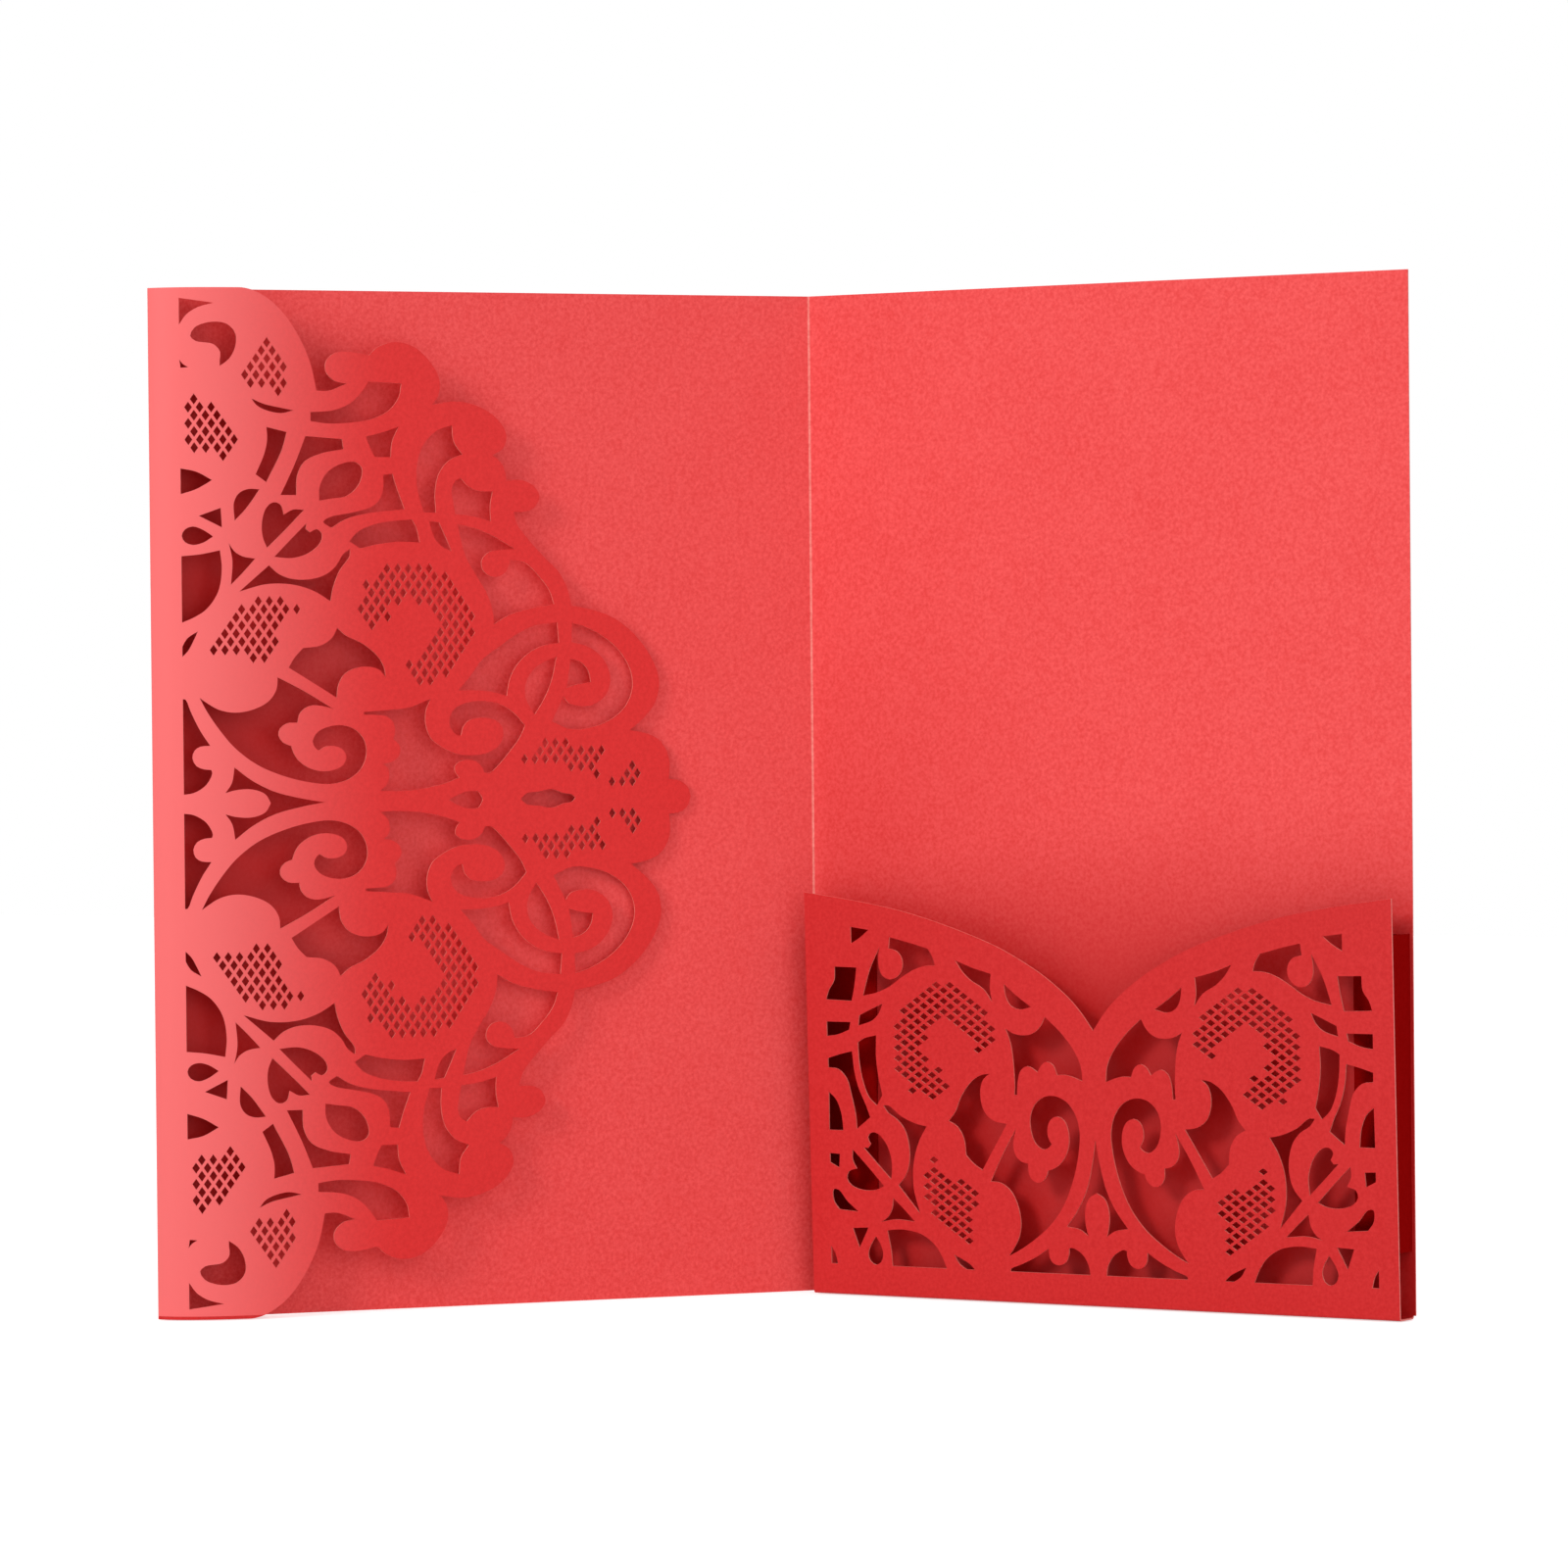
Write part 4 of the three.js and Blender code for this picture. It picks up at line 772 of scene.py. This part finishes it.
def net_gap_group():
    """Return the geometry node group that lays staggered diamonds over net patches."""
    inputs = dict.fromkeys(("Reach", "Rise", "Pitch", "Row", "Gap"), "Float")
    inputs = {"Patches": "Geometry", **inputs, "Material": "Material"}
    group = new_group("Net Gaps", "GeometryNodeTree", inputs, {"Gaps": "Geometry"})
    source = add(group, "NodeGroupInput").outputs
    pitch, row, gap = source["Pitch"], source["Row"], source["Gap"]
    columns = maths(group, "FLOOR", maths(group, "DIVIDE", source["Reach"], pitch))
    rows = maths(group, "FLOOR", maths(group, "DIVIDE", source["Rise"], row))
    reach = product(group, columns, pitch)
    rise = product(group, rows, row)
    per_column = maths(group, "ADD", rows, 1.0)
    grid = add(group, "GeometryNodeMeshGrid", {
        "Size X": reach,
        "Size Y": rise,
        "Vertices X": maths(group, "ADD", columns, 1.0),
        "Vertices Y": per_column,
    })
    index = add(group, "GeometryNodeInputIndex").outputs[0]
    odd = maths(group, "MODULO", maths(group, "MODULO", index, per_column), 2.0)
    shift = product(group, odd, pitch, 0.5)
    offset = add(group, "ShaderNodeCombineXYZ", {
        "X": maths(group, "ADD", shift, product(group, reach, 0.5)),
        "Y": product(group, rise, 0.5),
    })
    place = add(group, "GeometryNodeSetPosition", {
        "Geometry": grid.outputs["Mesh"], "Offset": offset.outputs[0],
    })
    spot = add(group, "GeometryNodeInputPosition").outputs[0]
    above = add(group, "ShaderNodeVectorMath", {0: spot, 1: (0.0, 0.0, RAY_HEIGHT)})
    ray = add(group, "GeometryNodeRaycast", {
        "Target Geometry": source["Patches"],
        "Source Position": above.outputs[0],
        "Ray Direction": (0.0, 0.0, -1.0),
        "Ray Length": RAY_HEIGHT * 2,
    })
    hit = {0: ray.outputs["Is Hit"]}
    keep = add(group, "GeometryNodeDeleteGeometry", {
        "Geometry": place.outputs[0],
        "Selection": add(group, "FunctionNodeBooleanMath", hit, operation="NOT").outputs[0],
    }, domain="POINT")
    diamond = add(
        group, "GeometryNodeMeshCircle", {"Vertices": 4, "Radius": 1.0}, fill_type="NGON"
    )
    size = add(group, "ShaderNodeCombineXYZ", {
        "X": product(group, pitch, 0.5, gap), "Y": product(group, row, gap),
    })
    spread = add(group, "GeometryNodeInstanceOnPoints", {
        "Points": keep.outputs[0],
        "Instance": diamond.outputs["Mesh"],
        "Scale": size.outputs[0],
    })
    real = add(group, "GeometryNodeRealizeInstances", {0: spread.outputs[0]})
    paint = add(group, "GeometryNodeSetMaterial", {
        "Geometry": real.outputs[0], "Material": source["Material"],
    })
    add(group, "NodeGroupOutput", {"Gaps": paint.outputs[0]})
    return group


def net_gaps(sizes, material):
    """Return the diamonds of the net patches, in the lace's drawing."""
    patches = bmesh.new()
    for area in NETS:
        patches.faces.new([patches.verts.new((a, b, 0.0)) for a, b in area])
    mesh = bpy.data.meshes.new("Net Patches")
    patches.to_mesh(mesh)
    patches.free()
    holder = link(bpy.data.objects.new("Net Patches", mesh))
    modifier = holder.modifiers.new("Net Gaps", "NODES")
    modifier.node_group = net_gap_group()
    values = {
        "Reach": DRAWN_REACH,
        "Rise": DRAWN_HALF,
        "Pitch": sizes.net_pitch,
        "Row": sizes.net_row,
        "Gap": sizes.net_gap,
        "Material": material,
    }
    for item in modifier.node_group.interface.items_tree:
        if item.in_out == "INPUT" and item.name in values:
            modifier[item.identifier] = values[item.name]
    bpy.context.view_layer.update()
    shown = holder.evaluated_get(bpy.context.evaluated_depsgraph_get())
    result = bpy.data.meshes.new_from_object(shown)
    gaps = [
        [tuple(result.vertices[i].co.xy) for i in face.vertices]
        for face in result.polygons
    ]
    bpy.data.objects.remove(holder)
    bpy.data.meshes.remove(mesh)
    bpy.data.meshes.remove(result)
    if not gaps:
        raise RuntimeError("the net patches came out without gaps")
    return gaps


def cut_flat(sheet, gaps):
    """Return the flat sheet with its windows cut out, split along every fold line."""
    points, loops = [], []
    for polygon in [sheet.outline()] + lace_windows(sheet, gaps):
        if doubled_area(polygon) < 0:
            polygon = polygon[::-1]
        loops.append(range(len(points), len(points) + len(polygon)))
        points += [Vector(point) for point in polygon]
    cut = delaunay_2d_cdt(points, [], loops, CUT_INSIDE, MERGE_GAP)
    verts, faces, owners = cut[0], cut[2], cut[5]
    flat = bmesh.new()
    made = [flat.verts.new((v.x, v.y, 0.0)) for v in verts]
    for face, owner in zip(faces, owners):
        if owner == [0]:
            flat.faces.new([made[i] for i in face])
    loose = [vert for vert in flat.verts if not vert.link_faces]
    bmesh.ops.delete(flat, geom=loose, context="VERTS")
    lines = [((a, 0.0, 0.0), (1.0, 0.0, 0.0)) for a in sheet.walk.flat[1:-1]]
    lines += [
        ((0.0, sheet.fold_start - b, 0.0), (0.0, 1.0, 0.0))
        for b in sheet.climb.flat[:-1]
    ]
    for position, normal in lines:
        everything = flat.verts[:] + flat.edges[:] + flat.faces[:]
        bmesh.ops.bisect_plane(
            flat, geom=everything, dist=MERGE_GAP, plane_co=position, plane_no=normal
        )
    bmesh.ops.triangulate(flat, faces=flat.faces[:])
    bmesh.ops.recalc_face_normals(flat, faces=flat.faces[:])
    if flat.faces[:][0].normal.z < 0:
        bmesh.ops.reverse_faces(flat, faces=flat.faces[:])
    return flat


def side_tab(sheet, side):
    """Return the corners of the wall and of the glued strip of one side tab."""
    sizes = sheet.sizes
    low, high, inset = sizes.tab_start, sizes.tab_end, sizes.join_inset
    edge = sizes.right_width - (sheet.pocket_high if side > 0 else sheet.pocket_low)
    outer = edge + side * inset

    def box(x0, x1, profile):
        return [(x, y, z) for x in sorted((x0, x1)) for y, z in profile]

    def leaf(rise):
        return -sizes.pocket_depth - (rise - sheet.fold_start) * sizes.pocket_lean

    wall = ((leaf(low), low), (0.0, low), (0.0, high), (leaf(high), high))
    face = -sheet.half - sizes.sheet
    low, high = low + inset, high - inset
    strip = ((face, low), (0.0, low), (0.0, high), (face, high))
    return (
        box(outer, outer + side * sizes.sheet, wall),
        box(outer + side * inset, outer + side * (inset + sizes.tab_width), strip),
    )


def fold_card(sheet, gaps):
    """Return the folded card as one mesh: inner face, outer face and cut edges."""
    flat = cut_flat(sheet, gaps)
    card = bmesh.new()
    front, back = {}, {}
    for vert in flat.verts:
        a, b = vert.co.xy
        front[vert] = card.verts.new(sheet.folded(a, b, sheet.half))
        back[vert] = card.verts.new(sheet.folded(a, b, -sheet.half))
    for face in flat.faces:
        ring = [loop.vert for loop in face.loops]
        a = sum(v.co.x for v in ring) / len(ring)
        b = sum(v.co.y for v in ring) / len(ring)
        creased = sheet.crease[0] < a < sheet.crease[1]
        outer = FLAP if a > sheet.left_end else BACK
        # Below the pocket's fold the outer side takes the pocket's darker material, painted
        # as shade.
        if b < sheet.fold_start:
            outer = POCKET_FACE_SHADE
        shown = card.faces.new([front[v] for v in reversed(ring)])
        shown.material_index = EDGE if creased else INNER
        card.faces.new([back[v] for v in ring]).material_index = outer
    for edge in flat.edges:
        if edge.is_boundary:
            loop = edge.link_loops[0]
            near, far = loop.vert, loop.link_loop_next.vert
            side = [front[near], front[far], back[far], back[near]]
            card.faces.new(side).material_index = EDGE
    flat.free()
    # The side tabs take the deep red material, painted as shade.
    for side in (1, -1):
        for box in side_tab(sheet, side):
            corners = [card.verts.new(at) for at in box]
            for face in BOX_FACES:
                card.faces.new([corners[i] for i in face]).material_index = TAB_SHADE
    bmesh.ops.recalc_face_normals(card, faces=card.faces[:])
    mesh = bpy.data.meshes.new("invitation_card")
    card.to_mesh(mesh)
    card.free()
    return mesh


def place_on_node(mesh):
    """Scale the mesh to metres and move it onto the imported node."""
    low, high = (Vector(corner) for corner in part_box(CARD_NODE))
    mesh.transform(Matrix.Scale(MM, 4))
    top = Vector(max(v.co[k] for v in mesh.vertices) for k in range(3))
    base = min(v.co.z for v in mesh.vertices)
    mesh.transform(Matrix.Translation((high.x - top.x, high.y - top.y, low.z - base)))


def grain_group():
    """Return the shader group for the mottled grain that every card material shares."""
    group = new_group(
        "Pearl Grain",
        "ShaderNodeTree",
        {"Deep": "Color", "Light": "Color", "Grain Scale": "Float", "Relief": "Float"},
        {"Color": "Color", "Roughness": "Float", "Normal": "Vector"},
    )
    source = add(group, "NodeGroupInput").outputs
    where = add(group, "ShaderNodeTexCoord").outputs["Object"]
    fine = add(group, "ShaderNodeTexNoise", {
        "Vector": where,
        "Scale": source["Grain Scale"],
        "Detail": FINE_DETAIL,
        "Roughness": FINE_ROUGHNESS,
    }).outputs["Fac"]
    broad = add(group, "ShaderNodeTexNoise", {
        "Vector": where, "Scale": BROAD_SCALE, "Detail": BROAD_DETAIL,
    }).outputs["Fac"]
    low, high = GRAIN_RANGE
    spread = add(group, "ShaderNodeMapRange", {
        "Value": fine, "From Min": low, "From Max": high,
    }).outputs["Result"]
    share = add(group, "ShaderNodeMix", {
        "Factor": BROAD_SHARE, "A": spread, "B": broad,
    }).outputs["Result"]
    tint = add(group, "ShaderNodeMix", {
        "Factor": share, "A": source["Deep"], "B": source["Light"],
    }, data_type="RGBA").outputs["Result"]
    low, high = ROUGHNESS_RANGE
    rough = add(group, "ShaderNodeMapRange", {
        "Value": share, "To Min": low, "To Max": high,
    }).outputs["Result"]
    bump = add(group, "ShaderNodeBump", {
        "Strength": source["Relief"], "Distance": GRAIN_HEIGHT, "Height": fine,
    }).outputs["Normal"]
    add(group, "NodeGroupOutput", {"Color": tint, "Roughness": rough, "Normal": bump})
    return group


def spine_foot(sizes):
    """Return the foot of the spine, in metres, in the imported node's place."""
    low, high = (Vector(corner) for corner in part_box(CARD_NODE))
    depth = high.y - sizes.sheet / 2 * MM
    return Vector((high.x - sizes.right_width * MM, depth, low.z))


def place_group(sizes):
    """Return the shader group that tells how far along each panel a spot lies."""
    group = new_group(
        "Panel Place",
        "ShaderNodeTree",
        {},
        {"Along Left Panel": "Float", "Along Right Panel": "Float", "Height": "Float"},
    )
    spot = add(group, "ShaderNodeTexCoord").outputs["Object"]
    foot = {0: spot, 1: spine_foot(sizes)}
    where = add(group, "ShaderNodeVectorMath", foot, operation="SUBTRACT").outputs[0]
    turn = sizes.opening
    left = {0: where, 1: (math.cos(turn), -math.sin(turn), 0.0)}
    along = add(group, "ShaderNodeVectorMath", left, operation="DOT_PRODUCT")
    parts = add(group, "ShaderNodeSeparateXYZ", {0: where}).outputs
    add(group, "NodeGroupOutput", {
        "Along Left Panel": along.outputs["Value"],
        "Along Right Panel": parts["X"],
        "Height": parts["Z"],
    })
    return group


def place_outputs(tree, sizes):
    """Return the outputs of the shared panel place group, in a material."""
    group = bpy.data.node_groups.get("Panel Place") or place_group(sizes)
    return add(tree, "ShaderNodeGroup", node_tree=group).outputs


def ramp(tree, value, start, end):
    """Return a smooth rise from 0 to 1 between two values of a socket."""
    values = {"Value": value, "From Min": start, "From Max": end}
    node = add(tree, "ShaderNodeMapRange", values, interpolation_type="SMOOTHSTEP")
    return node.outputs["Result"]


def blend_painted_light(tree, mask, color):
    """Blend a colour of painted shade or painted highlight into a card material's base
    colour where the mask is high.
    """
    base = tree.nodes["Principled BSDF"].inputs["Base Color"]
    values = {"Factor": mask, "A": base.links[0].from_socket, "B": (*color, 1.0)}
    mix = add(tree, "ShaderNodeMix", values, data_type="RGBA")
    tree.links.new(mix.outputs["Result"], base)


def paint_shade(material, sizes):
    """Paint shade into the inner face's colour under the flap's spring, and behind and
    above the pocket.
    """
    tree = material.node_tree
    place = place_outputs(tree, sizes)
    height, along = place["Height"], place["Along Right Panel"]
    fold = sizes.left_width * MM
    middle = sizes.height * MM / 2
    rim = sizes.pocket_height * MM
    start, end = FLAP_SHADE
    near_fold = ramp(tree, place["Along Left Panel"], fold - start, fold - end)
    off_middle = maths(tree, "ABSOLUTE", maths(tree, "SUBTRACT", height, middle))
    start, end = FLAP_SHADE_BAND
    band = ramp(tree, off_middle, middle * start, middle * end)
    beside = ramp(tree, along, *SPINE_EDGE)
    start, end = POCKET_SHADE
    low = ramp(tree, height, rim + start, rim - end)
    start, end = CORNER_SHADE_RISE
    above_pocket = ramp(tree, height, rim + start, rim - end)
    near_spine = ramp(tree, along, *CORNER_SHADE_REACH)
    corner = product(tree, near_spine, above_pocket, beside, sizes.corner_shade)
    mask = product(tree, near_fold, band)
    for other in (product(tree, low, beside), corner):
        mask = maths(tree, "MAXIMUM", mask, other)
    blend_painted_light(tree, product(tree, mask, sizes.painted_shade_strength), sizes.painted_shade_color)


def paint_fold_highlight(material, sizes):
    """Paint a highlight into the flap's colour towards its fold, where its pearl catches
    the light.
    """
    tree = material.node_tree
    place = place_outputs(tree, sizes)
    fold = sizes.left_width * MM
    near_fold = ramp(tree, place["Along Left Panel"], fold - FOLD_HIGHLIGHT_REACH, fold)
    blend_painted_light(tree, near_fold, sizes.fold_highlight_color)


def card_material(name, color, specular, coat):
    """Return a pearl card material whose grain goes a little deeper and lighter."""
    deep = [part * share for part, share in zip(color, GRAIN_DEEP)]
    light = [min(part * share, 1.0) for part, share in zip(color, GRAIN_LIGHT)]
    material = bpy.data.materials.new(name)
    material.use_nodes = True
    tree = material.node_tree
    grain = add(tree, "ShaderNodeGroup", {
        "Deep": (*deep, 1.0),
        "Light": (*light, 1.0),
        "Grain Scale": GRAIN_SCALE,
        "Relief": GRAIN_RELIEF,
    }, node_tree=bpy.data.node_groups.get("Pearl Grain") or grain_group()).outputs
    feed(tree, tree.nodes["Principled BSDF"], {
        "Base Color": grain["Color"],
        "Roughness": grain["Roughness"],
        "Normal": grain["Normal"],
        "Specular IOR Level": specular,
        "Coat Weight": coat,
        "Coat Roughness": COAT_ROUGHNESS,
    })
    return material


def length_property(name, description, millimetres):
    """Return a length property, whose default is given in millimetres."""
    return FloatProperty(
        name=name, description=description, default=millimetres * MM, unit="LENGTH",
        precision=5,
    )


def angle_property(name, description, degrees):
    """Return an angle property, whose default is given in degrees."""
    return FloatProperty(
        name=name, description=description, default=math.radians(degrees),
        unit="ROTATION",
    )


def share_property(name, description, default):
    """Return a property for a share of something, or for a slope."""
    return FloatProperty(
        name=name, description=description, default=default, subtype="FACTOR",
        min=0.0, max=1.0,
    )


def color_property(name, description, default):
    """Return a colour property for one of the card's faces."""
    return FloatVectorProperty(
        name=name, description=description, default=default, subtype="COLOR",
        min=0.0, max=1.0,
    )


class CardSizes(bpy.types.PropertyGroup):
    """Sizes and colours of the card."""

    height: length_property("Height", "Height of the panels", 185.0)
    left_width: length_property("Left Width", "Width of the left panel", 127.0)
    right_width: length_property("Right Width", "Width of the right panel", 125.0)
    sheet: length_property("Sheet", "Thickness of the card", 0.3)
    fold_radius: length_property("Fold Radius", "Radius of the folds", 0.45)
    opening: angle_property("Opening", "Angle between the panels", 126.4)
    flap_reach: length_property("Flap Reach", "Reach of the flap from its fold", 104.0)
    flap_spring: angle_property("Flap Spring", "How steeply the flap springs up", 52.0)
    flap_spring_length: length_property(
        "Spring Length", "Distance over which the flap bends down", 9.0
    )
    flap_tip_gap: length_property("Tip Gap", "Gap under the flap's tip", 0.5)
    pocket_width: length_property("Pocket Width", "Width of the pocket", 122.0)
    pocket_inset: length_property("Pocket Inset", "Distance from the spine", 2.5)
    pocket_height: length_property("Pocket Height", "Height of its sides", 74.5)
    pocket_depth: length_property("Pocket Depth", "Depth at the pocket's base", 5.0)
    pocket_lean: share_property("Pocket Lean", "Slope of the pocket's front", 0.03)
    tab_width: length_property("Tab Width", "Width of the glued strips", 11.0)
    tab_start: length_property("Tab Start", "Lower end of the side tabs", 12.0)
    tab_end: length_property("Tab End", "Upper end of the side tabs", 68.0)
    join_inset: length_property("Join Inset", "Inset of the tabs at their joins", 0.1)
    net_pitch: length_property("Net Pitch", "Distance between gaps in a row", 2.05)
    net_row: length_property("Net Row", "Distance between rows of gaps", 1.45)
    net_gap: share_property("Net Gap", "Gap as a share of the mesh", 0.68)
    curve_step: length_property("Curve Step", "Length of the steps along curves", 0.7)
    inner_color: color_property(
        "Inner Color", "Colour of the panels' inner face", (0.87, 0.078, 0.077)
    )
    flap_color: color_property(
        "Flap Color", "Colour of the flap's face", (0.74, 0.021, 0.021)
    )
    # Painted shade: the pocket's front is the flap's outer side, coloured darker for the
    # shade it stands in.
    pocket_shade_color: color_property(
        "Pocket Shade Color", "Colour of the pocket's front", (0.63, 0.021, 0.022)
    )
    back_color: color_property(
        "Back Color", "Colour of the panels' back", (0.73, 0.034, 0.034)
    )
    # Painted shade: the tabs are coloured deep red for the shade inside the pocket.
    tab_shade_color: color_property(
        "Tab Shade Color", "Colour of the tabs in the pocket's shade", (0.30, 0.002, 0.002)
    )
    edge_color: color_property(
        "Edge Color", "Colour of the cut edges and the crease", (0.89, 0.21, 0.18)
    )
    # Painted shade: the deep red laid into the inner face under the flap, behind the pocket
    # and beside the spine.
    painted_shade_color: color_property(
        "Painted Shade Color", "Deep red under the flap and in the pocket", (0.50, 0.002, 0.002)
    )
    painted_shade_strength: share_property("Painted Shade Strength", "Strength of the deep red", 0.85)
    corner_shade: share_property(
        "Corner Shade", "Share of the deep red beside the spine, above the pocket", 0.35
    )
    # Painted highlight: the light pink laid into the flap's face along its fold.
    fold_highlight_color: color_property(
        "Fold Highlight Color", "Light pink along the flap's fold", (0.93, 0.155, 0.155)
    )


def measured(settings):
    """Return the card's settings as plain values, with its lengths in millimetres."""
    values = {}
    for name in CardSizes.__annotations__:
        value = getattr(settings, name)
        if settings.bl_rna.properties[name].unit == "LENGTH":
            value = round(value / MM, 4)
        values[name] = value
    return SimpleNamespace(**values)


class CARD_OT_fold(bpy.types.Operator):
    """Cut, fold and colour the invitation card"""

    bl_idname = "card.fold"
    bl_label = "Fold Card"

    def execute(self, context):
        sizes = measured(context.scene.card_sizes)
        materials = [
            card_material(name, getattr(sizes, color), specular, coat)
            for name, color, specular, coat in CARD_MATERIALS
        ]
        # Painted shade goes into the inner face's colour, and a painted highlight into the
        # flap's face near its fold.
        paint_shade(materials[INNER], sizes)
        paint_fold_highlight(materials[FLAP], sizes)
        mesh = fold_card(FoldedSheet(sizes), net_gaps(sizes, materials[BACK]))
        place_on_node(mesh)
        for material in materials:
            mesh.materials.append(material)
        mesh.polygons.foreach_set("use_smooth", [True] * len(mesh.polygons))
        mesh.set_sharp_from_angle(angle=math.radians(SHARP_DEGREES))
        card = link(bpy.data.objects.new("invitation_card", mesh))
        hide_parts(CARD_NODE)
        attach(card, "root")
        return {"FINISHED"}


def white_rays(tree):
    """Return a mask of the rays that are to meet plain white surroundings."""
    rays = add(tree, "ShaderNodeLightPath").outputs
    bounced = maths(tree, "MAXIMUM", rays["Is Glossy Ray"], rays["Is Transmission Ray"])
    return maths(tree, "MAXIMUM", rays["Is Camera Ray"], bounced)


def floor_material():
    """Return a pale floor that looks white and still takes the card's shadow."""
    material = bpy.data.materials.new("Floor White")
    material.use_nodes = True
    tree = material.node_tree
    feed(tree, tree.nodes["Principled BSDF"], {
        "Base Color": FLOOR_COLOR,
        "Roughness": FLOOR_ROUGHNESS,
        "Emission Color": WHITE,
        "Emission Strength": product(tree, white_rays(tree), FLOOR_LIFT),
    })
    return material


def studio_world():
    """Return a world that shows white and lights the card at a lower level."""
    world = bpy.data.worlds.new("Studio")
    world.use_nodes = True
    tree = world.node_tree
    tree.nodes.clear()
    lit, shown = (
        add(tree, "ShaderNodeBackground", {"Color": WHITE, "Strength": level}).outputs[0]
        for level in (AMBIENT_LEVEL, 1.0)
    )
    mix = add(tree, "ShaderNodeMixShader", {0: white_rays(tree), 1: lit, 2: shown})
    add(tree, "ShaderNodeOutputWorld", {"Surface": mix.outputs[0]})
    return world


def area_light(name, place, target, size, power, color):
    """Add a soft square light that looks at a target."""
    light = bpy.data.lights.new(name, "AREA")
    light.size = size
    light.energy = power
    light.color = color
    holder = link(bpy.data.objects.new(name, light))
    holder.location = place
    way = target - Vector(place)
    holder.rotation_euler = way.to_track_quat("-Z", "Y").to_euler()


def photo_camera(spine):
    """Return the camera that took the photo, placed from the spine's foot."""
    angles = (CAMERA_YAW, CAMERA_PITCH, CAMERA_ROLL)
    yaw, pitch, roll = (math.radians(angle) for angle in angles)
    level = math.cos(pitch)
    ahead = Vector((math.sin(yaw) * level, math.cos(yaw) * level, math.sin(pitch)))
    right = Vector((math.cos(yaw), -math.sin(yaw), 0.0))
    up = right.cross(ahead)
    turned = right * math.cos(roll) + up * math.sin(roll)
    upright = up * math.cos(roll) - right * math.sin(roll)
    data = bpy.data.cameras.new("Photo Camera")
    data.sensor_width = SENSOR_MM
    data.lens = PHOTO_FOCAL_PX / PHOTO_SIDE_PX * SENSOR_MM
    camera = link(bpy.data.objects.new("Photo Camera", data))
    place = Matrix.Translation(spine + Vector(CAMERA_FROM_SPINE) * MM)
    turn = Matrix((turned, upright, -ahead)).transposed().to_4x4()
    camera.matrix_world = place @ turn
    return camera


class CARD_OT_stage(bpy.types.Operator):
    """Set up the floor, the light and the camera of the photo"""

    bl_idname = "card.stage"
    bl_label = "Photo Stage"

    def execute(self, context):
        scene = context.scene
        spine = spine_foot(measured(scene.card_sizes))
        mesh = bpy.data.meshes.new("Floor")
        signs = ((-1, -1), (1, -1), (1, 1), (-1, 1))
        base = spine.z - FLOOR_DROP
        corners = [(x * FLOOR_REACH, y * FLOOR_REACH, base) for x, y in signs]
        mesh.from_pydata(corners, [], [(0, 1, 2, 3)])
        mesh.materials.append(floor_material())
        floor = link(bpy.data.objects.new("Floor", mesh))
        scene.world = studio_world()
        for name, place, size, power, color in LAMPS:
            area_light(name, place, spine + Vector(LAMP_TARGET), size, power, color)
        scene.camera = photo_camera(spine)
        scene.view_settings.view_transform = "Standard"
        return {"FINISHED"}


class CARD_PT_panel(bpy.types.Panel):
    """Sidebar panel for the invitation card"""

    bl_label = "Invitation Card"
    bl_idname = "CARD_PT_panel"
    bl_space_type = "VIEW_3D"
    bl_region_type = "UI"
    bl_category = "Card"

    def draw(self, context):
        for name in PANEL_SIZES:
            self.layout.prop(context.scene.card_sizes, name)
        self.layout.operator(CARD_OT_fold.bl_idname)
        self.layout.operator(CARD_OT_stage.bl_idname)


CLASSES = (CardSizes, CARD_OT_fold, CARD_OT_stage, CARD_PT_panel)


def register():
    """Register the add-on's classes and its sizes."""
    for cls in CLASSES:
        bpy.utils.register_class(cls)
    bpy.types.Scene.card_sizes = PointerProperty(type=CardSizes)


def unregister():
    """Remove the add-on's classes and its sizes."""
    del bpy.types.Scene.card_sizes
    for cls in reversed(CLASSES):
        bpy.utils.unregister_class(cls)


def main():
    """Build the card and its stage."""
    register()
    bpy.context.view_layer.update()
    bpy.ops.card.fold()
    bpy.ops.card.stage()


if __name__ == "__main__":
    main()
